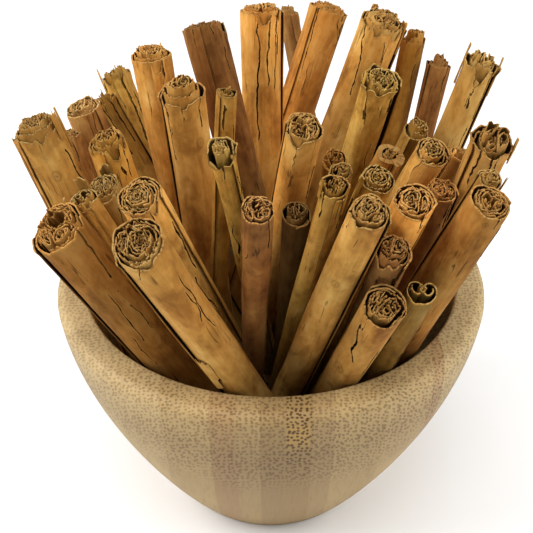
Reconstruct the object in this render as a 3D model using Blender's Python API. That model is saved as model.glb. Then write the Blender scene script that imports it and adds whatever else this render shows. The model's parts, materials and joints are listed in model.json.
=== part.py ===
"""Cinnamon quills standing as a loose fan in a round bamboo bowl.

The origin is the centre of the bowl's foot, +Z is up and -Y is the front.
"""
import math
import random

import bmesh
import bpy
import numpy as np
from mathutils import Vector

MM = 0.001
TOUCH_GAP = 0.3 * MM

# Bowl
BOWL_RADIUS = 70 * MM
BOWL_HEIGHT = 86 * MM
FOOT_RADIUS = 35 * MM
FOOT_EDGE = 1.2 * MM
MOUTH_RADIUS = 60.3 * MM
FLOOR_THICKNESS = 9 * MM
FLOOR_RADIUS = 26 * MM
RIM_OUTER_ROUND = 3.3 * MM
RIM_INNER_ROUND = 1.2 * MM
BOWL_SIDES = 56
WALL_STEPS = 8
RIM_STEPS = 3

# Quills
QUILL_LENGTH = 120 * MM
LENGTH_SPREAD = 0.5 * MM
QUILL_SIDES = 14
QUILL_STATIONS = 5
SEAM_DEPTH = 0.16
SEAM_WIDTH = math.radians(24)
MOST_OVAL = 0.05
MOST_SWELL = 0.04
END_DISH = 1.8 * MM
END_WALL = 0.36
END_RAGGED = 0.9 * MM
SEED = 12

# Where each quill stands, in millimetres and degrees: its thickness, its head (x, y), its foot
# (x, y, z), the side that its seam faces (0 front, 90 right, -90 left, 180 back) and its bark.
HEAP = {
    "front": [
        (14.5, (-58, -49), (-6, -34, 28), -70, "tan"),
        (13.0, (-32, -70), (7, -39, 35), -55, "tan"),
        (8.5, (-3, -66), (-4, -20, 42), 150, "brown"),
        (10.5, (24, -66), (2, -27, 41), -75, "tan"),
        (9.0, (32, -63), (18, -12, 30), 30, "brown"),
        (12.5, (29, -69), (9, -16, 19), 10, "tan"),
        (7.5, (41, -61), (17, -20, 13), 100, "olive"),
    ],
    "left": [
        (14.5, (-66, -16), (-27, -27, 35), -80, "orange"),
        (7.5, (-61, -2), (-32, 2, 21), 20, "brown"),
        (12.0, (-57, 7), (-32, 11, 25), 60, "brown"),
        (8.5, (-52, -38), (-7, -21, 27), 0, "orange"),
        (9.5, (-47, -27), (-11, -13, 21), 170, "tan"),
        (11.5, (-47, -16), (-26, -5, 26), -10, "olive"),
        (13.0, (-33, -56), (-7, -9, 42), 45, "tan"),
    ],
    "back": [
        (9.0, (-57, 40), (-2, 14, 25), 90, "olive"),
        (11.0, (-53, 53), (-17, 22, 22), 0, "olive"),
        (12.0, (-35, 7), (-23, 14, 41), 5, "tan"),
        (13.5, (-26, -6), (-16, 4, 35), -35, "tan"),
        (14.0, (-20, 20), (5, 14, 44), -15, "brown"),
        (6.5, (-12, -18), (-19, -7, 40), -10, "olive"),
        (14.5, (-3, 37), (-2, 27, 42), 40, "orange"),
        (7.5, (6, 78), (27, 33, 36), 60, "brown"),
        (14.0, (20, 62), (-15, 38, 39), -60, "orange"),
        (14.5, (36, 37), (1, 42, 43), -20, "tan"),
        (9.0, (47, 42), (29, 25, 32), 120, "olive"),
        (11.5, (33, 3), (14, 38, 41), 60, "olive"),
        (8.5, (55, 36), (33, 16, 27), -60, "brown"),
        (11.5, (63, 9), (31, 9, 41), 60, "tan"),
    ],
    "middle": [
        (7.0, (-13, -41), (0, 0, 42), 50, "olive"),
        (10.0, (9, -30), (-6, 9, 42), -50, "tan"),
        (8.0, (18, -20), (20, 10, 24), -20, "olive"),
        (7.0, (18, -48), (11, -11, 38), 180, "olive"),
        (10.0, (35, -13), (7, 31, 29), 30, "tan"),
        (10.0, (28, -44), (8, 3, 39), -90, "olive"),
        (8.0, (16, -57), (3, -16, 41), 10, "olive"),
        (9.0, (7, -38), (3, 0, 20), 80, "tan"),
        (8.5, (44, 0), (17, 33, 26), -30, "olive"),
        (11.5, (45, -24), (18, 19, 36), 75, "tan"),
    ],
    "right": [
        (7.0, (56, -11), (23, 2, 22), 0, "orange"),
        (12.0, (59, -34), (42, 4, 40), -40, "tan"),
        (7.5, (56, -51), (28, -13, 41), 30, "tan"),
        (11.5, (55, -61), (30, -23, 40), 110, "orange"),
        (9.5, (47, -35), (33, 0, 24), 80, "brown"),
        (10.5, (36, -57), (21, -6, 41), 20, "orange"),
    ],
}
BARK = {
    "tan": (0.42, 0.23, 0.085),
    "orange": (0.45, 0.21, 0.06),
    "brown": (0.25, 0.115, 0.045),
    "olive": (0.34, 0.20, 0.06),
}
BARK_ROUGHNESS = 0.75
BAMBOO = (0.50, 0.39, 0.25)
BAMBOO_ROUGHNESS = 0.5

# The heap is eased apart in small steps until nothing overlaps.
SETTLE_STEPS = 6000
SETTLE_SHARE = 0.15
SETTLE_NEAR = 0.01 * MM
HEAD_EASE = 0.08
WALL_CHECKS = 17


def clear_scene():
    for old in list(bpy.data.objects):
        bpy.data.objects.remove(old, do_unlink=True)


def material(name, colour, roughness):
    made = bpy.data.materials.new(name)
    made.use_nodes = True
    shader = made.node_tree.nodes["Principled BSDF"]
    shader.inputs["Base Color"].default_value = (*colour, 1.0)
    shader.inputs["Roughness"].default_value = roughness
    shader.inputs["Metallic"].default_value = 0.0
    return made


def curve(start, near_start, near_end, end, steps):
    """Points of one cubic curve, both ends included."""
    points = []
    for step in range(steps + 1):
        t = step / steps
        u = 1 - t
        points.append(tuple(
            u ** 3 * a + 3 * u * u * t * b + 3 * u * t * t * c + t ** 3 * d
            for a, b, c, d in zip(start, near_start, near_end, end)
        ))
    return points


def arc(centre_r, centre_z, radius, from_degrees, to_degrees, steps):
    points = []
    for step in range(steps + 1):
        angle = math.radians(from_degrees + (to_degrees - from_degrees) * step / steps)
        points.append((centre_r + radius * math.cos(angle), centre_z + radius * math.sin(angle)))
    return points


def outer_wall(steps):
    """The outside of the bowl, from the foot's edge up to the rim."""
    low = (FOOT_RADIUS, FOOT_EDGE)
    high = (BOWL_RADIUS, BOWL_HEIGHT - RIM_OUTER_ROUND)
    near_low = (low[0] + 2 * MM, low[1] + 1.2 * MM)
    near_high = (high[0] - 2.8 * MM, high[1] - 35 * MM)
    return curve(low, near_low, near_high, high, steps)


def inner_wall(steps):
    """The inside of the bowl, from the flat floor up to the mouth."""
    low = (FLOOR_RADIUS, FLOOR_THICKNESS)
    high = (MOUTH_RADIUS, BOWL_HEIGHT - RIM_INNER_ROUND)
    near_low = (low[0] + 11 * MM, low[1] + 1 * MM)
    near_high = (high[0] - 1.8 * MM, high[1] - 34.8 * MM)
    return curve(low, near_low, near_high, high, steps)


def bowl_profile():
    """(radius, height) points of the bowl's section, from the foot round the rim to the floor."""
    foot = [(FOOT_RADIUS - FOOT_EDGE, 0.0)]
    outer, inner = RIM_OUTER_ROUND, RIM_INNER_ROUND
    rim_outside = arc(BOWL_RADIUS - outer, BOWL_HEIGHT - outer, outer, 0, 90, RIM_STEPS)
    rim_inside = arc(MOUTH_RADIUS + inner, BOWL_HEIGHT - inner, inner, 90, 180, RIM_STEPS)
    walls = outer_wall(WALL_STEPS), inner_wall(WALL_STEPS)
    return foot + walls[0] + rim_outside[1:] + rim_inside + walls[1][-2::-1]


def make_bowl():
    """The profile turned about Z, with a flat foot below and a flat floor inside."""
    mesh = bmesh.new()
    rings = []
    for radius, height in bowl_profile():
        ring = []
        for side in range(BOWL_SIDES):
            angle = 2 * math.pi * side / BOWL_SIDES
            ring.append(mesh.verts.new((radius * math.cos(angle), radius * math.sin(angle), height)))
        rings.append(ring)
    join_rings(mesh, rings)
    mesh.faces.new(rings[0][::-1])
    mesh.faces.new(rings[-1])
    return finish(mesh, "bowl", material("bamboo", BAMBOO, BAMBOO_ROUGHNESS))


def join_rings(mesh, rings):
    """Quads between each ring and the next, facing out where the rings climb anticlockwise."""
    for lower, upper in zip(rings, rings[1:]):
        for side in range(len(lower)):
            after = (side + 1) % len(lower)
            mesh.faces.new((lower[side], lower[after], upper[after], upper[side]))


def finish(mesh, name, surface):
    """Turns the bmesh into a named, smooth-shaded object with its own material."""
    bmesh.ops.recalc_face_normals(mesh, faces=mesh.faces)
    data = bpy.data.meshes.new(name)
    mesh.to_mesh(data)
    mesh.free()
    data.shade_smooth()
    data.set_sharp_from_angle(angle=math.radians(40))
    data.materials.append(surface)
    made = bpy.data.objects.new(name, data)
    bpy.context.scene.collection.objects.link(made)
    return made


class Quill:
    """One rolled stick of bark: its name, radius, seam side, and the ends of its axis."""

    def __init__(self, name, thickness, head, foot, seam, bark, length):
        self.name = name
        self.bark = bark
        self.radius = thickness * MM / 2
        self.seam = math.radians(seam)
        self.foot = np.array(foot, float) * MM
        across = np.array(head, float) * MM - self.foot[:2]
        climb = math.sqrt(length ** 2 - across @ across)
        self.head = self.foot + np.array([across[0], across[1], climb])
        self.length = length


def planned_quills():
    draw = random.Random(SEED)
    quills = []
    for row, places in HEAP.items():
        for number, place in enumerate(places, start=1):
            length = QUILL_LENGTH + draw.uniform(-LENGTH_SPREAD, LENGTH_SPREAD)
            quills.append(Quill(f"{row}_quill_{number}", *place, length))
    return quills


def nearest_points(foot_a, head_a, foot_b, head_b):
    """Shares along two sets of segments, foot 0 to head 1, where each pair lies closest."""
    along_a = head_a - foot_a
    along_b = head_b - foot_b
    between = foot_a - foot_b
    aa = np.einsum("ij,ij->i", along_a, along_a)
    bb = np.einsum("ij,ij->i", along_b, along_b)
    ab = np.einsum("ij,ij->i", along_a, along_b)
    a_gap = np.einsum("ij,ij->i", along_a, between)
    b_gap = np.einsum("ij,ij->i", along_b, between)
    spread = np.maximum(aa * bb - ab * ab, 1e-18)
    share_a = np.clip((ab * b_gap - a_gap * bb) / spread, 0, 1)
    share_b = np.clip((ab * share_a + b_gap) / bb, 0, 1)
    share_a = np.clip((ab * share_b - a_gap) / aa, 0, 1)
    return share_a, share_b


def ease(shift, who, share, push):
    """Adds a push at a share of the way up each quill to the shifts of its foot and its head."""
    scale = share ** 2 * HEAD_EASE + (1 - share) ** 2
    np.add.at(shift[0], who, push * ((1 - share) / scale)[:, None])
    np.add.at(shift[1], who, push * (share * HEAD_EASE / scale)[:, None])


def wall_room(height):
    """The bowl's inner radius at a height, and how much its slope lengthens a radius across it."""
    wall = np.array(inner_wall(WALL_STEPS))
    radius = np.interp(height, wall[:, 1], wall[:, 0]) * math.cos(math.pi / BOWL_SIDES)
    slope = np.gradient(wall[:, 0], wall[:, 1])
    return radius, np.sqrt(1 + np.interp(height, wall[:, 1], slope) ** 2)


def settle(quills):
    """Eases overlapping quills apart, and off the bowl, by the least that keeps their lengths."""
    heads = np.array([quill.head for quill in quills])
    feet = np.array([quill.foot for quill in quills])
    radii = np.array([quill.radius for quill in quills])
    lengths = np.array([quill.length for quill in quills])
    first, second = np.triu_indices(len(quills), 1)
    for _ in range(SETTLE_STEPS):
        shift = np.zeros((2, len(quills), 3))
        share_a, share_b = nearest_points(feet[first], heads[first], feet[second], heads[second])
        at_a = feet[first] + (heads - feet)[first] * share_a[:, None]
        at_b = feet[second] + (heads - feet)[second] * share_b[:, None]
        distance = np.linalg.norm(at_b - at_a, axis=1)
        overlap = radii[first] + radii[second] + TOUCH_GAP - distance
        hit = overlap > 0
        push = (at_b - at_a)[hit] * (overlap[hit] / distance[hit] / 2)[:, None]
        ease(shift, first[hit], share_a[hit], -push)
        ease(shift, second[hit], share_b[hit], push)
        worst = max(overlap.max(), push_off_bowl(shift, heads, feet, radii))
        if worst < SETTLE_NEAR:
            break
        feet += SETTLE_SHARE * shift[0]
        heads += SETTLE_SHARE * shift[1]
        along = heads - feet
        feet = heads - along * (lengths / np.linalg.norm(along, axis=1))[:, None]
    for quill, head, foot in zip(quills, heads, feet):
        quill.head = head
        quill.foot = foot
    return worst


def push_off_bowl(shift, heads, feet, radii):
    """Adds the pushes off the wall and the floor to the shifts, and returns the deepest overlap."""
    worst = 0.0
    along = heads - feet
    for level in np.linspace(FLOOR_THICKNESS, BOWL_HEIGHT, WALL_CHECKS):
        share = np.clip((level - feet[:, 2]) / along[:, 2], 0, 1)
        points = feet + along * share[:, None]
        reach = np.linalg.norm(points[:, :2], axis=1)
        room, lengthening = wall_room(points[:, 2])
        over = reach + radii * lengthening + TOUCH_GAP - room
        out = np.flatnonzero(over > 0)
        inward = -points[out] * [1, 1, 0] * (over[out] / reach[out])[:, None]
        ease(shift, out, share[out], inward)
        worst = max(worst, over.max())
    lean = np.linalg.norm(along[:, :2], axis=1) / np.linalg.norm(along, axis=1)
    sunk = FLOOR_THICKNESS + TOUCH_GAP + radii * lean - feet[:, 2]
    low = np.flatnonzero(sunk > 0)
    ease(shift, low, np.zeros(len(low)), np.outer(sunk[low], [0, 0, 1]))
    return max(worst, sunk.max())


def quill_section(angle, seam, oval, oval_turn):
    """Share of the full radius at an angle: a little oval, with a groove at the seam."""
    from_seam = (angle - seam + math.pi) % (2 * math.pi) - math.pi
    groove = SEAM_DEPTH * math.exp(-(from_seam / SEAM_WIDTH) ** 2)
    return (1 - groove) * (1 - oval + oval * math.cos(2 * (angle - oval_turn)))


def make_quill(quill, draw, surface):
    """A lofted stick with a seam groove, uneven thickness, ragged ends and a dished head."""
    axis = quill.head - quill.foot
    axis /= np.linalg.norm(axis)
    front = np.array([0.0, -1.0, 0.0])
    front -= axis * (front @ axis)
    front /= np.linalg.norm(front)
    side = np.cross(axis, front)
    oval = draw.uniform(0, MOST_OVAL)
    oval_turn = draw.uniform(0, math.pi)
    rag_turn = draw.uniform(0, 2 * math.pi)
    mesh = bmesh.new()

    def ring(share, width, sink):
        centre = quill.foot + (quill.head - quill.foot) * share
        swell = 1 - MOST_SWELL * draw.random()
        made = []
        for number in range(QUILL_SIDES):
            angle = 2 * math.pi * number / QUILL_SIDES
            reach = quill.radius * width * swell * quill_section(angle, quill.seam, oval, oval_turn)
            rag = 0.0
            if share == 1:
                rag = END_RAGGED * math.sin(angle + rag_turn) * math.cos(2 * angle - rag_turn)
            place = centre + reach * (math.cos(angle) * front + math.sin(angle) * side)
            made.append(mesh.verts.new(place + axis * (rag - sink)))
        return made

    rings = [ring(station / (QUILL_STATIONS - 1), 1.0, 0.0) for station in range(QUILL_STATIONS)]
    rings.append(ring(1, 1 - END_WALL, END_DISH))
    join_rings(mesh, rings)
    mesh.faces.new(rings[0][::-1])
    centre = mesh.verts.new(sum((vert.co for vert in rings[-1]), Vector()) / QUILL_SIDES)
    for number in range(QUILL_SIDES):
        mesh.faces.new((rings[-1][number], rings[-1][(number + 1) % QUILL_SIDES], centre))
    bmesh.ops.triangulate(mesh, faces=mesh.faces)
    return finish(mesh, quill.name, surface)


def main():
    clear_scene()
    make_bowl()
    quills = planned_quills()
    worst = settle(quills)
    print(f"settled: worst overlap {worst / MM:.3f} mm")
    draw = random.Random(SEED)
    for quill in quills:
        shade = draw.uniform(0.85, 1.15)
        colour = [channel * shade for channel in BARK[quill.bark]]
        make_quill(quill, draw, material(quill.name, colour, BARK_ROUGHNESS))


main()
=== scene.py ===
"""Cinnamon quills standing in a turned bamboo bowl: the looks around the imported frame."""

import json
import math
import random

import bpy
import numpy as np
from mathutils import Matrix, Vector


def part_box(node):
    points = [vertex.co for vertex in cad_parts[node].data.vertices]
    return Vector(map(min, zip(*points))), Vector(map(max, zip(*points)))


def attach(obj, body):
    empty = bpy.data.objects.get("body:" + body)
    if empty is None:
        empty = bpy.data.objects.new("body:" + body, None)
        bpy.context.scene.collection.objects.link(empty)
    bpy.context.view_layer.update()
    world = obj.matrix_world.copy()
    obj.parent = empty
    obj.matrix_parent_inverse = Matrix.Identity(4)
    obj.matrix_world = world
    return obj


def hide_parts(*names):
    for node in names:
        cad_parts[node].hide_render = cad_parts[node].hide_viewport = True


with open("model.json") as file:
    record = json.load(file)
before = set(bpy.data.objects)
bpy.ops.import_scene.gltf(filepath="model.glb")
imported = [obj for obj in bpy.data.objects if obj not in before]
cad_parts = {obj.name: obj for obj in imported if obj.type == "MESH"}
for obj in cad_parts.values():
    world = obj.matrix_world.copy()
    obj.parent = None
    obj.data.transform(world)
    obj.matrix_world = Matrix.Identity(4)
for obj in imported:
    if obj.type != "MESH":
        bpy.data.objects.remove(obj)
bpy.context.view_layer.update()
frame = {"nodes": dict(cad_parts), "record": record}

bl_info = {
    "name": "Cinnamon quills in a bowl",
    "version": (1, 0, 0),
    "blender": (4, 5, 0),
    "location": "3D View > Sidebar > Quills",
    "description": "Builds rolled bark quills and the turned bamboo bowl that they stand in",
    "category": "Object",
}

MM = 0.001

# How each quill is rolled and worn. Angles are in degrees round the quill: 0 front, 90 right,
# -90 left and 180 back. Depths run down from the head, in millimetres.
#   roll    "wrap" is one sheet rolled over its own edge, "scroll" has both edges rolled in
#   seam    the side where the sheet's edges meet
#   lobes   a scroll's two rolled edges, as shares of the quill's radius
#   fill    the rolls pressed together inside the head: (angle, distance, size, hollow, rise), the
#           distance and size as shares of the quill's radius, the hollow as a share of the roll
#   dome    how far the middle of the head stands above its edge
#   drop    (angle, amount): the side where the outer sheet ends lower, and by how much
#   flare   how far torn edges bend outwards at the head
#   lift    how far the sheet's outer edge stands open at the seam
#    shade   how light the bark is, its own tone with painted shade for quills standing in the others'
#            shadow, and tint how much it turns from red towards yellow
#   broad   how far the head spreads out all round, and shift (angle, amount) how far it leans over
#   slant   (angle, amount): the side towards which the head's face is cut aslant
#   rise    how far the head stands above its solid's
#   heart   how light the inner rolls are
#   curl    how many turns each edge of a scroll makes
#   rings   the loose turns of bark between the outer sheet and the inner rolls
#   crumbs  the broken curls among the inner rolls
#   ragged  how broken the head's edge is
#   splits  the fine splits down the front, besides the cracks
#   cracks  (angle, from, to, width, turn): the turn is how far it swings round on its way down
#   bites   (angle, width, depth) broken out of the head's edge
#   torn    (angle, from, to, width) of the outer layer missing
#   knots   (angle, depth, size)
#   slivers (angle, from, to, width, lift) of bark standing off the surface
LOOKS = {
    "front_quill_1": dict(
        seam=-62, shade=0.5, tint=-1.7, heart=0.9, ragged=0.9, dome=0.4, broad=0.9, shift=(-140, 0.5),
        slant=(-10, 2), lift=0.35, rings=0.9, crumbs=9,
        fill=[(160, 0.3, 0.58, 0.6, -0.5), (-60, 0.5, 0.36, 0.1, 0.2), (30, 0.5, 0.4, 0.1, 0.4),
              (95, 0.62, 0.32, 0.05, 0.6)],
        cracks=[(58, 0, 20, 0.9, -6), (46, 22, 34, 0.5, -6), (-7, 38, 54, 0.7, 2),
              (20, 20, 44, 0.5, -8)], bites=[(110, 2.5, 1.2), (80, 2, 1.6)]),
    "front_quill_2": dict(
        seam=-52, shade=0.85, tint=-0.4, heart=0.74, ragged=1.1, dome=0.5, broad=1, shift=(-100, 1),
        slant=(-10, 1.5), lift=0.45, pitch=0.8, rings=1.9,
        fill=[(70, 0.24, 0.68, 0.1, 0.4), (-110, 0.6, 0.38, 0.05, -0.2), (160, 0.64, 0.32, 0.15, 0.3)],
        cracks=[(56, 10, 38, 0.5, 8), (-30, 50, 58, 1.2, 20)], bites=[(20, 2, 1.3), (-80, 2.6, 1.6)],
        torn=[(-28, 52, 58, 3)], slivers=[(-34, 46, 60, 2.6, 1), (-22, 47, 55, 1.8, 0.9)]),
    "front_quill_3": dict(
        seam=150, shade=0.62, tint=-1.5, heart=1, ragged=0.7, rise=-1.8, broad=0.45, pitch=0.75,
        rings=0.6, crumbs=12,
        fill=[(-160, 0.18, 0.46, 0.7, -0.5), (40, 0.45, 0.45, 0.1, 0.3), (-70, 0.62, 0.3, 0.1, 0.2)],
        slivers=[(-90, 0, 14, 1.5, 1)]),
    "front_quill_4": dict(
        seam=60, shade=0.94, tint=0, heart=0.8, ragged=0.6, dome=0.6, broad=0.6, shift=(20, 0.5),
        lift=0.28, pitch=0.8, rings=1.6,
        fill=[(-140, 0.2, 0.62, 0.16, 0.4), (45, 0.55, 0.42, 0.1, 0.2), (150, 0.6, 0.34, 0.2, 0.4)],
        cracks=[(-84, 0, 10, 0.9, 2)], bites=[(-32, 1.6, 1.1), (140, 2.4, 1)], knots=[(-25, 26, 1.3)]),
    "front_quill_5": dict(
        seam=30, shade=0.5, tint=-1, heart=1.05, ragged=1, dome=0.8, rise=0.8, broad=0.3,
        shift=(-90, 1), slant=(0, 0.6), drop=(-20, 1.1), flare=0.4, rings=1.5,
        fill=[(110, 0.25, 0.58, 0.1, 0.8), (-120, 0.5, 0.32, 0.3, 0)],
        bites=[(-40, 2.5, 2.4), (10, 2, 1.6)], torn=[(0, 7, 17, 5.5)]),
    "front_quill_6": dict(
        seam=-140, shade=0.72, tint=-0.5, heart=0.7, ragged=0.6, slant=(0, 0.6), lift=0.28, pitch=1.05,
        rings=0.8, crumbs=16,
        fill=[(-130, 0.56, 0.42, 0.1, 0.3), (60, 0.2, 0.62, 0.5, 0.2), (40, 0.2, 0.3, 0.2, 0.4)],
        cracks=[(-64, 3, 26, 1.4, 40)], bites=[(-60, 3, 1.2)], knots=[(-43, 34, 2)]),
    "front_quill_7": dict(
        roll="scroll", seam=180, lobes=(0.47, 0.47), curl=1.05, shade=0.45, tint=-0.6, heart=1.1,
        ragged=0.5, rise=-0.6, broad=0.5, slant=(0, 0.6), rings=0, crumbs=5, fill=[],
        slivers=[(-96, -1, 7, 0.9, 0.6)]),
    "left_quill_1": dict(
        seam=-44, shade=0.9, tint=0.9, heart=0.78, ragged=0.9, dome=1.7, shift=(-90, 0.6),
        drop=(10, 1.5), lift=0.35, crumbs=26,
        fill=[(-20, 0.06, 0.8, 0.06, 0.4), (95, 0.66, 0.34, 0.05, 0.4)],
        cracks=[(62, 2, 26, 0.6, 10), (35, 24, 44, 0.5, 8), (-62, 0, 20, 0.9, 2)],
        bites=[(20, 2.6, 1.6), (-14, 3, 1)], knots=[(12, 14, 1.5), (25, 22, 0.8)],
        slivers=[(-80, 1.5, 26, 2.4, 1.7), (70, -3, 5, 1.4, 0.8), (95, -3, 9, 1.2, 0.9),
              (82, -2, 12, 1.2, 0.5)]),
    "left_quill_2": dict(
        seam=20, shade=1.2, tint=-0.2, ragged=1.2, cracks=[(20, 0, 16, 0.6, 8)]),
    "left_quill_3": dict(
        seam=60, shade=1.25, tint=0.3, heart=1.3, ragged=0.6, dome=0.6, shift=(-90, 0.4),
        fill=[(-80, 0.44, 0.5, 0.06, 0.2), (80, 0.44, 0.52, 0.06, 0.4)]),
    "left_quill_4": dict(
        seam=0, shade=0.95, tint=1.7, heart=0.9, ragged=0.7, broad=0, shift=(0, 0), slant=(0, 0),
        drop=(0, 1.2), flare=0.5, rings=1.3, crumbs=4, fill=[],
        cracks=[(40, 0, 16, 0.7, 6), (-20, 2, 14, 0.8, 4)],
        slivers=[(165, -3.4, 10, 3.4, -0.2), (10, -0.6, 18, 1.7, 0.9), (45, 0.5, 24, 1.6, 0.9),
              (-40, -0.5, 16, 1.5, 0.9), (-80, -1.5, 12, 1.4, 0.8)]),
    "left_quill_5": dict(
        seam=170, shade=0.6, tint=0.2, heart=0.75, ragged=0.9, dome=0.4, broad=0.6, shift=(-70, 0.3),
        slant=(-10, 1.2), drop=(0, 0.8), rings=1.4,
        fill=[(-70, 0.36, 0.5, 0.12, 0.2), (70, 0.36, 0.48, 0.25, 0.5)], cracks=[(-50, 0, 24, 1, 10)],
        slivers=[(165, -2.6, 8, 3.2, 0)]),
    "left_quill_6": dict(
        seam=-10, shade=1.3, tint=-2, heart=0.8, ragged=1.1, dome=1, drop=(0, 1.1),
        fill=[(30, 0.2, 0.66, 0.1, 0.9), (-120, 0.55, 0.4, 0.1, 0.2)], cracks=[(40, 0, 15, 0.8, -6)],
        bites=[(26, 3.4, 3.6), (-50, 2, 1.6), (70, 2.2, 2)]),
    "left_quill_7": dict(
        seam=80, shade=1.35, tint=0.2, heart=0.72, ragged=0.6, dome=0.5, lift=0.35, pitch=0.66,
        rings=2.4, fill=[(-40, 0.08, 0.88, 0.03, 0.4)],
        cracks=[(70, 10, 36, 1, -10), (40, 34, 60, 0.8, 16), (20, 40, 66, 0.6, 10)],
        bites=[(-20, 2.4, 1.4), (40, 3, 2.2)]),
    "back_quill_1": dict(
        seam=90, shade=0.55, tint=-2, heart=0.8, ragged=1.6, dome=0.6, flare=0.6,
        cracks=[(0, 0, 22, 0.9, 10), (45, 0, 18, 0.8, 4)],
        slivers=[(-26, -4, 15, 1.5, 1.3), (-70, -3, 8, 1.2, 1), (30, -3, 12, 1.2, 0.9)]),
    "back_quill_2": dict(
        seam=0, shade=1.03, tint=-0.5, heart=0.8, ragged=1.4, dome=0.8, rise=-0.3, shift=(-90, 1.8),
        flare=0.8, pitch=0.95, crumbs=20, fill=[(-60, 0.4, 0.5, 0.25, 0.3), (90, 0.4, 0.5, 0.2, 1.2)],
        cracks=[(-50, 0, 18, 1, 8), (35, 0, 26, 1.2, 0), (0, 4, 34, 0.8, 8), (60, 2, 30, 0.7, 4)],
        bites=[(-20, 3, 2.6), (30, 1.8, 1.8)], slivers=[(-60, -3, 8, 1.2, 0.9), (55, -2, 9, 1.2, 0.8)]),
    "back_quill_3": dict(
        seam=5, shade=1.25, tint=-1, heart=1.15, ragged=0.5, dome=1.8, broad=0.6, shift=(-90, 0.6),
        slant=(180, 0.9), drop=(0, 0.5), crumbs=18, fill=[(0, 0.05, 0.9, 0.04, 0.3)],
        cracks=[(34, 0, 9, 0.8, 0)], bites=[(22, 3.4, 4)]),
    "back_quill_4": dict(
        seam=-72, shade=1.08, tint=-0.6, heart=0.85, ragged=0.8, drop=(0, 1.7), flare=0.4, lift=0.3,
        pitch=1, fill=[(50, 0.2, 0.6, 0.22, 2.2), (-130, 0.6, 0.32, 0.05, 0.6)],
        cracks=[(-44, 0, 22, 1.5, 3), (4, 0, 5, 0.8, 0)], bites=[(-60, 2.4, 1.6), (10, 2.4, 1.6)],
        knots=[(43, 16, 1.6)]),
    "back_quill_5": dict(
        seam=-4, shade=0.68, tint=-1.4, heart=0.75, ragged=0.35, dome=0.1, rise=2.3, slant=(180, 2.4),
        lift=0.28, rings=1.4, crumbs=6, cracks=[(-24, 0, 6, 0.8, -3), (30, 0, 3, 0.5, 2)],
        bites=[(70, 6, 2.4), (86, 3, 1.2)]),
    "back_quill_6": dict(
        seam=-40, shade=0.9, tint=-1, heart=0.6, ragged=0.5, rings=0.8, crumbs=3,
        fill=[(160, 0.2, 0.7, 0.6, -0.6)], cracks=[(-20, 2, 12, 1.3, 10)]),
    "back_quill_7": dict(
        seam=80, shade=1.3, tint=-0.1, heart=1.1, ragged=0.4, dome=0.5, slant=(180, 0.8),
        drop=(20, 0.4), lift=0.33, fill=[(-80, 0.46, 0.5, 0.06, 0.4), (80, 0.46, 0.5, 0.06, 0.7)],
        cracks=[(-6, 2, 44, 0.9, -6), (24, 0, 24, 1.1, -3), (48, 0, 14, 0.9, 4)],
        bites=[(10, 3.6, 3), (60, 2.6, 2.6)]),
    "back_quill_8": dict(
        seam=20, shade=0.66, tint=-0.2, ragged=0.8, drop=(30, 1.5), lift=0.44),
    "back_quill_9": dict(
        seam=-52, shade=0.87, tint=-0.8, heart=0.95, ragged=0.9, dome=0.9, lift=0.28, crumbs=20,
        fill=[(0, 0.05, 0.9, 0.04, 0.3)],
        cracks=[(-46, 0, 26, 1, 8), (52, 1, 11, 1.1, -6), (30, 3, 8, 0.4, 20)], bites=[(46, 1.6, 2.6)]),
    "back_quill_10": dict(
        seam=80, shade=1.2, tint=-0.4, heart=0.85, ragged=1.2, dome=2.2, broad=0.5, drop=(0, 0.8),
        lift=0.44, crumbs=20, fill=[(170, 0.3, 0.6, 0.06, 0.8), (0, 0.45, 0.5, 0.06, 0.2)],
        cracks=[(-54, 0, 26, 0.9, 34), (10, 2, 12, 0.5, 10)], bites=[(-20, 2.4, 2), (40, 3.2, 2.4)],
        slivers=[(84, -2, 9, 1.4, 0.8), (-150, -2.4, 6, 2.6, 0), (100, -1.6, 6, 2.4, 0.3)]),
    "back_quill_11": dict(
        seam=120, shade=0.78, tint=-1.8, ragged=0.4, dome=0.6, fill=[(-20, 0.1, 0.55, 0.1, 2.4)]),
    "back_quill_12": dict(
        seam=70, shade=1.28, tint=0, heart=0.9, ragged=1.3, dome=0.2, rise=-1.6, broad=0.2, flare=0.9,
        lift=0.55,
        fill=[(0, 0.14, 0.42, 0.5, 0.3), (110, 0.5, 0.42, 0.06, 0.5), (-120, 0.5, 0.4, 0.1, 0.6)],
        cracks=[(-46, 0, 16, 1, 22), (50, 0, 11, 1.3, 0), (0, 5, 8, 0.4, 4)],
        bites=[(0, 4, 1.8), (-70, 2, 1.4)], slivers=[(-75, -3, 4, 1.2, 1.1), (40, -3, 3, 1.2, 0.8)]),
    "back_quill_13": dict(
        seam=-60, shade=0.7, tint=-2.2, heart=0.8, ragged=0.9, dome=0.8,
        fill=[(-70, 0.3, 0.5, 0.1, 1.8), (90, 0.4, 0.4, 0.1, 0.2)]),
    "back_quill_14": dict(
        seam=60, shade=0.95, tint=0.5, heart=1, ragged=1.6, dome=0.8, flare=0.9, pitch=1,
        fill=[(-100, 0.4, 0.5, 0.2, 1.2), (60, 0.4, 0.5, 0.15, 1.4)],
        cracks=[(-10, 0, 14, 0.8, 2), (40, 0, 18, 0.6, 4)], bites=[(-10, 3, 3.4), (40, 2, 2)],
        slivers=[(-100, -4, 9, 1.3, 0.8), (70, -3, 6, 1.5, 1.3), (90, 2, 10, 1.2, 1.6)]),
    "middle_quill_1": dict(
        seam=50, shade=1.2, tint=0.6, heart=0.85, ragged=1.8, rise=0.6, drop=(0, 1), flare=1.6,
        rings=1.8, crumbs=18, fill=[(0, 0.05, 0.8, 0.1, 0.9)],
        cracks=[(-10, 0, 9, 0.8, 0), (-32, 30, 46, 1.2, 4)],
        bites=[(-20, 1.6, 2), (30, 1.4, 1.6), (70, 1.2, 1.6), (-60, 1.4, 2)]),
    "middle_quill_2": dict(
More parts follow.
